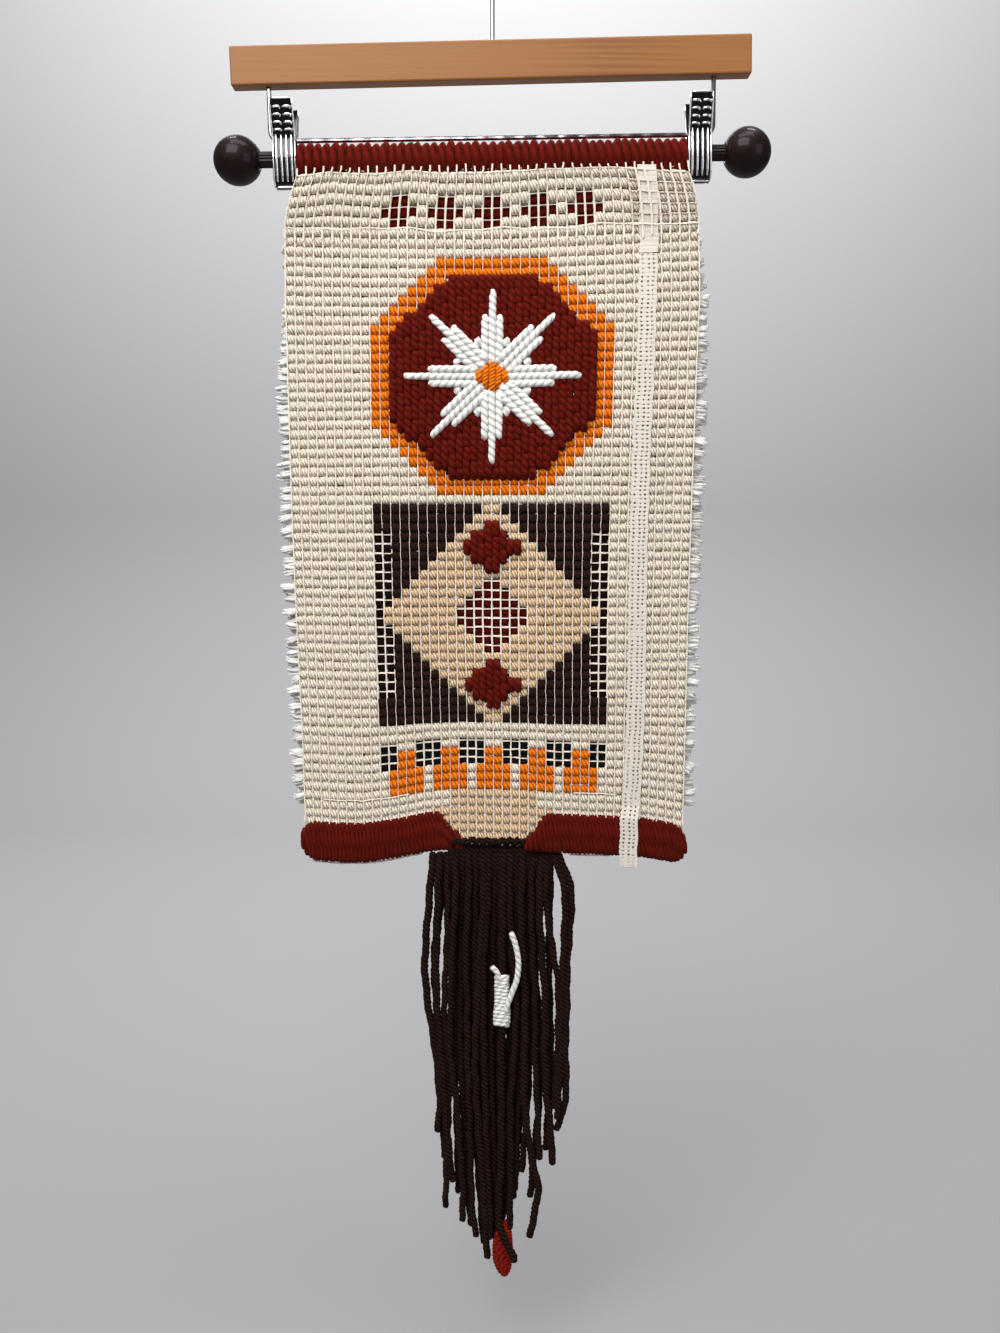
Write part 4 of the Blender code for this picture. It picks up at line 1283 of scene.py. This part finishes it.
TUFT = tuft_mesh()
for colour in ("cream", "tan", "orange", "brown", "black", "rust", "white"):
    tufts = [(TUFT, tuft_place(column, row, side)) for column, row in chart
             for side in (-1, 1) if 1 <= row < ROW_COUNT - 1
             and pile_colour(column, row) == colour]
    piece("pile_" + colour, copies(tufts), PILES[colour],
          replaces=("pile",) if colour == "cream" else (), closed=False)

# %% [markdown]
# Along both edges the outermost tufts have no neighbours to hold them up, so they fan out
# past the canvas and show beside it. There the plies come apart into soft white wisps.

# %% Wisps along the edges
WISP_FIRST_ROWS, WISP_LAST_ROW = {-1: 12, 1: 6}, 66
BRUSH_COUNT, FIBRES_IN_A_BRUSH, BRUSHES_IN_A_ROW = 5, 12, 2
FIBRE_LENGTH, FIBRE_RADII = 0.0130, (0.0013, 0.0013, 0.0011, 0.0005)
BRUSH_SPREAD = ((0.0, 0.0010), (0.35, 0.0016), (0.7, 0.0021), (1.0, 0.0024))
WISP_INSET, WISP_OUT = 0.0028, 0.0042


def brush_mesh(name):
    """A loose brush of fibres along x, finer and more open towards its end."""
    shape = bmesh.new()
    for _ in range(FIBRES_IN_A_BRUSH):
        turn, off = chance.uniform(0, math.tau), math.sqrt(chance.random())
        reach = FIBRE_LENGTH * (1 - 0.30 * off * chance.random())
        path = [(share * reach, off * spread * math.cos(turn), off * spread * math.sin(turn))
                for share, spread in BRUSH_SPREAD]
        path = [(x, y + jitter(0.0003), z + jitter(0.0003)) for x, y, z in path]
        strand(shape, path, FIBRE_RADII, sides=5, depth=0, start_taper=1, end_taper=1)
    return small_mesh(shape, name)


def turned(degrees, axis):
    return Matrix.Rotation(math.radians(degrees), 4, axis)


brushes = [brush_mesh(f"brush_{i}") for i in range(BRUSH_COUNT)]
wisps = []
for side, first in WISP_FIRST_ROWS.items():
    for row in range(first, WISP_LAST_ROW):
        grown = 0.45 + 0.55 * float(step(row, first, first + 10))
        for _ in range(BRUSHES_IN_A_ROW):
            place = Matrix.Translation((side * (HALF_WIDTH - WISP_INSET),
                                        WISP_OUT + jitter(0.0026),
                                        level_of(row) + jitter(0.0040)))
            place = (place @ turned(0 if side > 0 else 180, "Z") @ turned(6 + jitter(17), "Y")
                     @ turned(jitter(14), "Z")
                     @ Matrix.Diagonal((grown * (0.95 + jitter(0.22)), 1, 1, 1)))
            wisps.append((chance.choice(brushes), place))
piece("pile_edges", copies(wisps), WISPS, closed=False)

# %% [markdown]
# ## The fringe
#
# Two dozen strands of thick brown yarn hang from the hem. Their paths were laid out one by
# one, because real strands cross, part and bulge. Each is a few points that a smooth
# curve will join, and the shorter lists behind fill the gaps between the front ones.

# %% Paths of the fringe
# each strand in millimetres, as (x, level)
FRONT_STRANDS = [
    [(-46, -512), (-48, -535), (-53, -598), (-51, -632), (-45, -673), (-42, -715), (-44, -740)],
    [(-41, -512), (-42, -535), (-44, -591), (-44, -632), (-41, -673), (-38, -715), (-35, -758),
     (-32, -782)],
    [(-36, -512), (-35, -550), (-36, -591), (-38, -632), (-37, -673), (-35, -715), (-37, -758),
     (-38, -804)],
    [(-28, -510), (-29, -550), (-32, -591), (-33, -632), (-34, -673), (-29, -715), (-26, -758),
     (-24, -792), (-25, -816)],
    [(-18, -508), (-19, -550), (-21, -591), (-20, -632), (-20, -673), (-19, -715), (-18, -758),
     (-17, -801), (-14, -830)],
    [(-8, -507), (-7, -550), (-10, -591), (-12, -632), (-14, -673), (-13, -715), (-10, -758),
     (-7, -801), (-5, -847)],
    [(-3, -507), (-4, -550), (-7, -591), (-8, -632), (-7, -673), (-6, -715), (-5, -758),
     (-3, -801), (-2, -831)],
    [(8, -507), (8, -550), (7.4, -591), (7, -614), (6.8, -657), (6.6, -690), (6.6, -715),
     (6.5, -758), (5, -795), (4.6, -812), (9, -828), (16, -841), (17, -846)],
    [(14, -507), (13, -550), (15, -591), (18, -632), (17, -673), (14, -715), (14, -758),
     (14, -792), (13, -822)],
    [(24, -508), (22, -550), (23, -591), (25, -632), (25, -673), (25, -715), (30, -758),
     (36, -788), (33, -811), (29, -829)],
    [(31, -510), (30, -550), (31, -591), (33, -632), (33, -673), (35, -715), (37, -763)],
    [(38, -510), (36, -550), (38, -591), (41, -632), (41, -673), (43, -715), (46, -741),
     (47, -767)],
    [(42, -512), (41, -550), (47, -591), (51, -620), (51, -673), (50, -698), (48, -720)],
    [(47, -512), (54, -535), (56, -550), (55, -591), (54, -632), (54, -673), (52, -702),
     (51, -728)],
    [(50, -512), (58, -531), (61, -547), (60, -571), (58, -604), (58, -632), (57, -673),
     (58, -698), (56, -722), (50, -739)],
]
BACK_STRANDS = [
    [(-40, -512), (-40, -550), (-46, -605), (-40, -690), (-39, -766)],
    [(-32, -512), (-31, -600), (-30, -690), (-28, -796)],
    [(-23, -510), (-25, -600), (-25, -690), (-18, -823)],
    [(-13, -508), (-14, -600), (-17, -690), (-8, -840)],
    [(2, -507), (0, -600), (-1, -690), (3, -831)],
    [(19, -508), (18, -600), (21, -690), (18, -793)],
    [(27, -510), (27, -600), (29, -690), (23, -777)],
    [(34, -510), (33, -600), (38, -690), (30, -799)],
    [(45, -512), (44, -600), (46, -690), (42, -758)],
]
print("fringe paths", len(FRONT_STRANDS), "in front and", len(BACK_STRANDS), "behind")

# %% [markdown]
# A strand wanders a little in depth and wavers from side to side. Every other front strand
# lies nearer to us, so neighbours overlap and don't run into each other.

# %% Strands of the fringe
FRINGE_YARN_RADIUS, BACK_YARN_RADIUS = 0.0030, 0.0036
FRONT_OUT, FRONT_OUT_STEP, BACK_OUT, FILLER_OUT = -0.0036, -0.0012, 0.0022, 0.0056
CROSSING_STRAND = 7


def add_fringe_strand(shape, points, out, spacing=0.0013, sides=9, over_tuft=False,
                      radius=FRINGE_YARN_RADIUS):
    """Down from behind the hem, with the depth wandering a little."""
    start = jitter(math.pi)
    path = []
    for i, (x, level) in enumerate(points):
        depth = out + 0.0010 * math.sin(start + i * 1.3) if i else 0.0
        if over_tuft:
            depth -= 0.0080 * float(step(-level, 808, 834))
        path.append((x / 1000, depth, ROD_Z + level / 1000))
    path = curved(path, spacing)
    path[:, 0] += (0.0004 * np.sin(path[:, 2] * (210 + 12 * start) + start)
                   + 0.00016 * np.sin(path[:, 2] * 640 + 2 * start))
    strand(shape, path, radius * (1 + jitter(0.10)), sides=sides, plies=3, twist=FRINGE_TWIST,
           depth=0.28, end_taper=0.9)


fringe_shape = bmesh.new()
for i, points in enumerate(FRONT_STRANDS):
    add_fringe_strand(fringe_shape, points, FRONT_OUT + FRONT_OUT_STEP * (i % 2),
                      over_tuft=i == CROSSING_STRAND)
for points in BACK_STRANDS:
    add_fringe_strand(fringe_shape, points, BACK_OUT)

# %% [markdown]
# More strands fill the fringe from behind. Only slips of them show, so they are coarser,
# and a rule lays them out. Each pair of strands is pulled through its own loop over the
# edge of the canvas, and these loops make the thick head of the fringe.

# %% Strands at the back, and the head
for i, x in enumerate(np.arange(-32.0, 35.0, 4.1)):
    sway = 1.2 * math.sin(i * 2.1)
    end = -832 + 78 * abs(x - 3) / 48 + 16 * math.sin(i * 3.7)
    points = [(x, -506), (0.97 * x + sway, -590), (0.90 * x - sway, -670),
              (0.62 * x + sway, 0.45 * -670 + 0.55 * end), (0.42 * x + 3, end)]
    add_fringe_strand(fringe_shape, points, FILLER_OUT, spacing=0.0030, sides=7,
                      radius=BACK_YARN_RADIUS)
for i, x in enumerate(np.arange(-0.0275, 0.0350, 0.0058)):
    level = float(reading(HEM_LINE, x)) - 0.5105
    wide, high = 0.0026 + jitter(0.0004), 0.0042 + jitter(0.0006)
    foot, shoulder, top = (0.0010, -0.0020), (-0.0042, 0.3 * high), (-0.0050, high)
    loop = [(x + wide * share, out, ROD_Z + level + up) for share, (out, up) in (
        (-1, foot), (-0.9, shoulder), (0, top), (0.9, shoulder), (1, foot))]
    strand(fringe_shape, curved(loop, 0.0013), 0.0024, sides=9, plies=3,
           twist=FRINGE_TWIST, depth=0.20)
piece("fringe_yarn", fringe_shape, FRINGE_YARN, replaces=("fringe",), hung=False)

# %% [markdown]
# A white yarn is wound about one strand of the fringe, and its two ends stick out. The
# winding is one long helix, flattened and slanted by the pull. The longer end is a free
# cord, and is a piece of its own.

# %% Tie on the fringe
TIE_X, TIE_OUT = 0.0070, -0.0056
TIE_TOP, TIE_BOTTOM = -0.6110, -0.6510
TIE_YARN_RADIUS, TIE_END_RADIUS = 0.0019, 0.0024
TIE_TURNS, POINTS_IN_A_TURN = 14, 16
TIE_RADIUS, TIE_FLATNESS, TIE_SLANT = 0.0043, 0.62, 0.50
SHORT_END = [(0.0068, -0.0080, -0.6170), (0.0048, -0.0092, -0.6095), (0.0026, -0.0094, -0.6045),
             (-0.0010, -0.0098, -0.6010)]
LONG_END = [(0.0100, -0.0092, -0.6380), (0.0116, -0.0100, -0.6310), (0.0150, -0.0102, -0.6215),
            (0.0186, -0.0104, -0.6110), (0.0199, -0.0104, -0.5975), (0.0178, -0.0102, -0.5840),
            (0.0141, -0.0100, -0.5730)]

tie_shape = bmesh.new()
helix = []
for i in range(TIE_TURNS * POINTS_IN_A_TURN + 1):
    share = i / (TIE_TURNS * POINTS_IN_A_TURN)
    size = (TIE_RADIUS + 0.0009 * float(step(share, 0.62, 0.72))
            - 0.0012 * float(step(share, 0.95, 1.0)))
    angle = math.tau * (i / POINTS_IN_A_TURN + 0.25)
    down = max(0, i - POINTS_IN_A_TURN) / ((TIE_TURNS - 1) * POINTS_IN_A_TURN)
    level = TIE_TOP + (TIE_BOTTOM - TIE_TOP) * down
    depth = TIE_FLATNESS * size * math.sin(angle)
    helix.append((TIE_X + size * math.cos(angle), TIE_OUT + depth,
                  ROD_Z + level - TIE_SLANT * depth))
strand(tie_shape, helix, TIE_YARN_RADIUS, sides=8, twist=STITCH_TWIST, depth=0.12)
short_end, long_end = (curved([(x, y, ROD_Z + z) for x, y, z in end], 0.0012)
                       for end in (SHORT_END, LONG_END))
strand(tie_shape, short_end, np.linspace(TIE_YARN_RADIUS, TIE_END_RADIUS, len(short_end)),
       sides=8, twist=2.2, depth=0.14, end_taper=0.8)
piece("tie_winding", tie_shape, YARNS["white"], replaces=("tie_knot",), hung=False)

long_shape = bmesh.new()
strand(long_shape, long_end, TIE_END_RADIUS, sides=9, twist=2.2, depth=0.18, end_taper=0.7)
tie_end = piece("tie_end", long_shape, YARNS["white"], hung=False)

# %% [markdown]
# At the fringe's point a tuft of rust yarn is held by a brown strand that crosses it. It
# is wound to and fro, so two helices lean against each other.

# %% Tuft at the point
TUFT_TOP, TUFT_TIP = (0.0108, -0.8165), (0.0094, -0.8635)
TUFT_TURNS, POINTS_IN_A_TUFT_TURN = 16, 14
TUFT_HALF_WIDTH, TUFT_HALF_DEPTH, TUFT_OUT = 0.0070, 0.0038, -0.0038

tuft_shape = bmesh.new()
for start, slant in ((0.0, 0.0022), (math.pi, -0.0022)):
    winding = []
    for i in range(TUFT_TURNS * POINTS_IN_A_TUFT_TURN + 1):
        share = i / (TUFT_TURNS * POINTS_IN_A_TUFT_TURN)
        size = max(0.0, math.sin(math.pi * share ** 1.15)) ** 0.60
        angle = start + math.tau * i / POINTS_IN_A_TUFT_TURN
        x, level = (a + (b - a) * share for a, b in zip(TUFT_TOP, TUFT_TIP))
        winding.append((x - 0.0024 * math.sin(math.pi * share)
                        + TUFT_HALF_WIDTH * size * math.cos(angle),
                        TUFT_OUT + TUFT_HALF_DEPTH * size * math.sin(angle),
                        ROD_Z + level + slant * size * math.cos(angle)))
    strand(tuft_shape, winding, 0.0017, sides=6, twist=2.4, depth=0.15)
piece("tuft_yarn", tuft_shape, YARNS["red"], replaces=("rust_tuft",), hung=False)

# %% [markdown]
# ## The clips
#
# Each jaw of a clip is stamped from plated sheet: a channel with two turned-in sides, four
# rows of short pressed bars for the thumb, and four long ribs below. The bars and the ribs
# are untwisted strands laid on the sheet.

# %% Bars pressed into a jaw
# distance from the middle, height above the wire, turned-in side
JAW_LINE = millimetres(
    (13.5, 24.5, 2.2), (10.5, 15.0, 2.2), (7.5, 6.0, 2.2), (5.5, 0.5, 2.0), (5.6, -3.0, 1.2),
    (6.2, -7.0, 0.4), (6.4, -12.5, 0.4), (6.2, -19.0, 0.4), (5.8, -24.5, 1.8),
    (4.0, -30.2, 1.8), (2.4, -32.2, 0.8))
CLIP_X, CLIP_WIDTH, CLIP_SHEET, WIRE_LEVEL = 0.1474, 0.0166, 0.0010, 0.0125
BAR_RADIUS, RIM_RADIUS = 0.0009, 0.0006
DASH_HEIGHTS, DASH_MIDDLES = (0.0194, 0.0147, 0.0100, 0.0055), (-0.0037, 0.0037)
DASH = [(-0.0028, -0.0003), (-0.0012, 0.0001), (0.0012, 0.0002), (0.0024, -0.0001),
        (0.0028, -0.0014)]
RIB_SPAN, RIB_PLACES = (0.0026, -0.0290), (-0.0054, -0.0018, 0.0018, 0.0054)


def add_bar(shape, points, radius=BAR_RADIUS):
    """A rounded bar on the jaw's outer side, through (across, height) points. Gives its
    new faces."""
    before = set(shape.faces)
    outs = [float(np.interp(height, JAW_LINE[::-1, 1], JAW_LINE[::-1, 0])) for _, height in points]
    path = [(x, -(out + CLIP_SHEET / 2 + 0.0002), height)
            for out, (x, height) in zip(outs, points)]
    strand(shape, path, radius, sides=6, depth=0, start_taper=0.7, end_taper=0.7)
    return set(shape.faces) - before


def set_on_hanger(shape, x, level, turn_round):
    """Moves a shape to its place on the tilted hanger, turned round if asked."""
    place = (Matrix.Translation((0, 0, ROD_Z)) @ Matrix.Rotation(-HANGER_TILT, 4, "Y")
             @ Matrix.Translation((x, 0, level)))
    shape.transform(place @ turned(180 if turn_round else 0, "Z"))


print("a jaw is", round((JAW_LINE[0, 1] - JAW_LINE[-1, 1]) * 1000, 1), "mm long")

# %% [markdown]
# The channel is a grid laid on the solid jaw's own line and then made solid. A UV map
# tells the finish which faces are raised: those are painted bright as highlights, and the
# rest of the sheet is painted dark as the reflection of a dark room.

# %% Clip jaws
def jaw(name, solid, x, turn_round):
    shape = bmesh.new()
    half = (CLIP_WIDTH - CLIP_SHEET) / 2
    across = (-half, -half, 0.0014 - half, -half / 2, 0.0, half / 2, half - 0.0014, half, half)
    verts = bmesh.ops.create_grid(shape, x_segments=len(across) - 1,
                                  y_segments=len(JAW_LINE) - 1, size=0.5)["verts"]
    for vert in verts:
        column = round((vert.co.x + 0.5) * (len(across) - 1))
        offset, height, turn_in = JAW_LINE[round((0.5 - vert.co.y) * (len(JAW_LINE) - 1))]
        turn_in = {0: turn_in + 0.0003, 1: 0.0003, 7: 0.0003, 8: turn_in + 0.0003}.get(column, 0)
        vert.co = (across[column], -(offset - turn_in), height)
    bmesh.ops.recalc_face_normals(shape, faces=shape.faces[:])
    bmesh.ops.solidify(shape, geom=shape.faces[:], thickness=CLIP_SHEET)
    bmesh.ops.translate(shape, vec=(0, CLIP_SHEET / 2, 0), verts=shape.verts[:])
    raised = set()
    for height, middle in itertools.product(DASH_HEIGHTS, DASH_MIDDLES):
        raised |= add_bar(shape, [(middle + along, height + up) for along, up in DASH])
    for rib in RIB_PLACES:
        raised |= add_bar(shape, [(rib, height) for height in np.linspace(*RIB_SPAN, 9)])
    top, bottom = JAW_LINE[0, 1], JAW_LINE[-1, 1]
    for height in (top, bottom):
        raised |= add_bar(shape, [(share * half, height) for share in (-1, -0.5, 0, 0.5, 1)],
                          RIM_RADIUS)
    for rim in (-half, half):
        raised |= add_bar(shape, [(rim, height) for height in np.linspace(top, bottom, 13)],
                          RIM_RADIUS)
    shape.loops.layers.uv.remove(shape.loops.layers.uv["yarn"])
    uv = shape.loops.layers.uv.new("raised")
    for face in shape.faces:
        for loop in face.loops:
            loop[uv].uv = (1.0 if face in raised else 0.0, 0.0)
    set_on_hanger(shape, x, WIRE_LEVEL, turn_round)
    piece(name, shape, CLIP_CHROME, replaces=(solid,), hung=False)


for end, x in (("left", -CLIP_X), ("right", CLIP_X)):
    jaw("jaw_front_" + end, "clip_front_" + end, x, turn_round=False)
    jaw("jaw_back_" + end, "clip_back_" + end, x, turn_round=True)

# %% [markdown]
# ## The balls of the rod
#
# The dark balls are turned wood. The solid model's balls have few faces, and a gloss shows
# that, so finer ones take their place. Each is a sphere cut flat where the rod goes in, and
# the cut edge is extruded inwards to make the bore.

# %% Balls
BALL_X, BALL_RADIUS, BALL_NECK = 0.1817, 0.01725, 0.0155
BORE_RADIUS, BORE_DEPTH = 0.0059, 0.0120


def ball(name, solid, x, turn_round):
    shape = bmesh.new()
    bmesh.ops.create_uvsphere(shape, u_segments=56, v_segments=36, radius=BALL_RADIUS)
    bmesh.ops.rotate(shape, verts=shape.verts[:], matrix=Matrix.Rotation(math.pi / 2, 3, "Y"))
    for face in shape.faces:
        face.smooth = True
    bmesh.ops.bisect_plane(shape, geom=shape.verts[:] + shape.edges[:] + shape.faces[:],
                           plane_co=(-BALL_NECK, 0, 0), plane_no=(-1, 0, 0), clear_outer=True)
    rim = [edge for edge in shape.edges if edge.is_boundary]
    for depth in (0.0, BORE_DEPTH):
        grown = bmesh.ops.extrude_edge_only(shape, edges=rim)["geom"]
        rim = [part for part in grown if isinstance(part, bmesh.types.BMEdge)]
        for vert in (part for part in grown if isinstance(part, bmesh.types.BMVert)):
            around = Vector((0, vert.co.y, vert.co.z)).normalized() * BORE_RADIUS
            vert.co = (depth - BALL_NECK, around.y, around.z)
    bmesh.ops.edgeloop_fill(shape, edges=rim)
    set_on_hanger(shape, x, 0, turn_round)
    piece(name, shape, LACQUER, replaces=(solid,), hung=False)


ball("ball_left", "finial_left", -BALL_X, turn_round=True)
ball("ball_right", "finial_right", BALL_X, turn_round=False)

# %% [markdown]
# ## Floor and light
#
# A pale floor sweeps up far behind the hanging, with no corner to draw the eye.

# %% Floor
FLOOR_LEVEL, FLOOR_FRONT, FLOOR_WIDTH = -1.10, -2.5, 8.0
SWEEP_START, SWEEP_RADIUS, FLOOR_TOP = 1.6, 0.7, 2.6
floor_profile = ([(FLOOR_FRONT, FLOOR_LEVEL), (SWEEP_START, FLOOR_LEVEL)]
                 + [(SWEEP_START + SWEEP_RADIUS * math.sin(a),
                     FLOOR_LEVEL + SWEEP_RADIUS - SWEEP_RADIUS * math.cos(a))
                    for a in np.linspace(0.15, math.pi / 2, 10)]
                 + [(SWEEP_START + SWEEP_RADIUS, FLOOR_TOP)])

floor_shape = bmesh.new()
for vert in bmesh.ops.create_grid(floor_shape, x_segments=1, y_segments=len(floor_profile) - 1,
                                  size=0.5)["verts"]:
    y, z = floor_profile[round((vert.co.y + 0.5) * (len(floor_profile) - 1))]
    vert.co = (vert.co.x * FLOOR_WIDTH, y, z)
for face in floor_shape.faces:
    face.smooth = True
floor = placed("floor", mesh_of(floor_shape, "floor"))
floor.data.materials.append(Finish("pale_floor", (0.198, 0.198, 0.203), 0.9).material)
floor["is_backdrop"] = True
print("floor", len(floor.data.polygons), "faces")

# %% [markdown]
# A large soft light stands above and in front on the left. Weaker ones fill in from the
# right, from above and from behind, so that the pile can be seen from the back too. One
# more lights the sweep of the floor.

# %% Lights
def add_light(name, place, target, size, power):
    data = bpy.data.lights.new(name, "AREA")
    data.shape = "RECTANGLE"
    data.size, data.size_y = size
    data.energy = power
    made = placed(name, data)
    made.location = place
    made.rotation_euler = (Vector(target) - Vector(place)).to_track_quat("-Z", "Y").to_euler()


cloth_middle, cloth_upper, sweep = (0, 0, -0.42), (0, 0, -0.20), (0, 2.3, 0.9)
add_light("key", (-0.6, -1.4, 0.95), cloth_upper, (1.6, 1.2), 57)
add_light("fill", (1.6, -1.3, -0.1), cloth_middle, (1.2, 1.4), 10)
add_light("top", (0.0, -0.40, 1.3), cloth_upper, (1.4, 0.6), 17)
add_light("back", (-0.4, 1.5, 0.9), cloth_middle, (1.4, 1.0), 18)
add_light("wall", (0.0, 0.6, 1.9), sweep, (2.0, 0.6), 205)

world = bpy.data.worlds.new("studio")
world.use_nodes = True
sky = world.node_tree.nodes["Background"]
sky.inputs["Color"].default_value = (0.72, 0.72, 0.75, 1)
sky.inputs["Strength"].default_value = 0.24
bpy.context.scene.world = world
bpy.context.scene.view_settings.view_transform = "Standard"
print("lights", [light.name for light in bpy.data.lights])

# %% [markdown]
# ## Sizes
#
# Last we find the box that the finished model fills.

low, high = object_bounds()
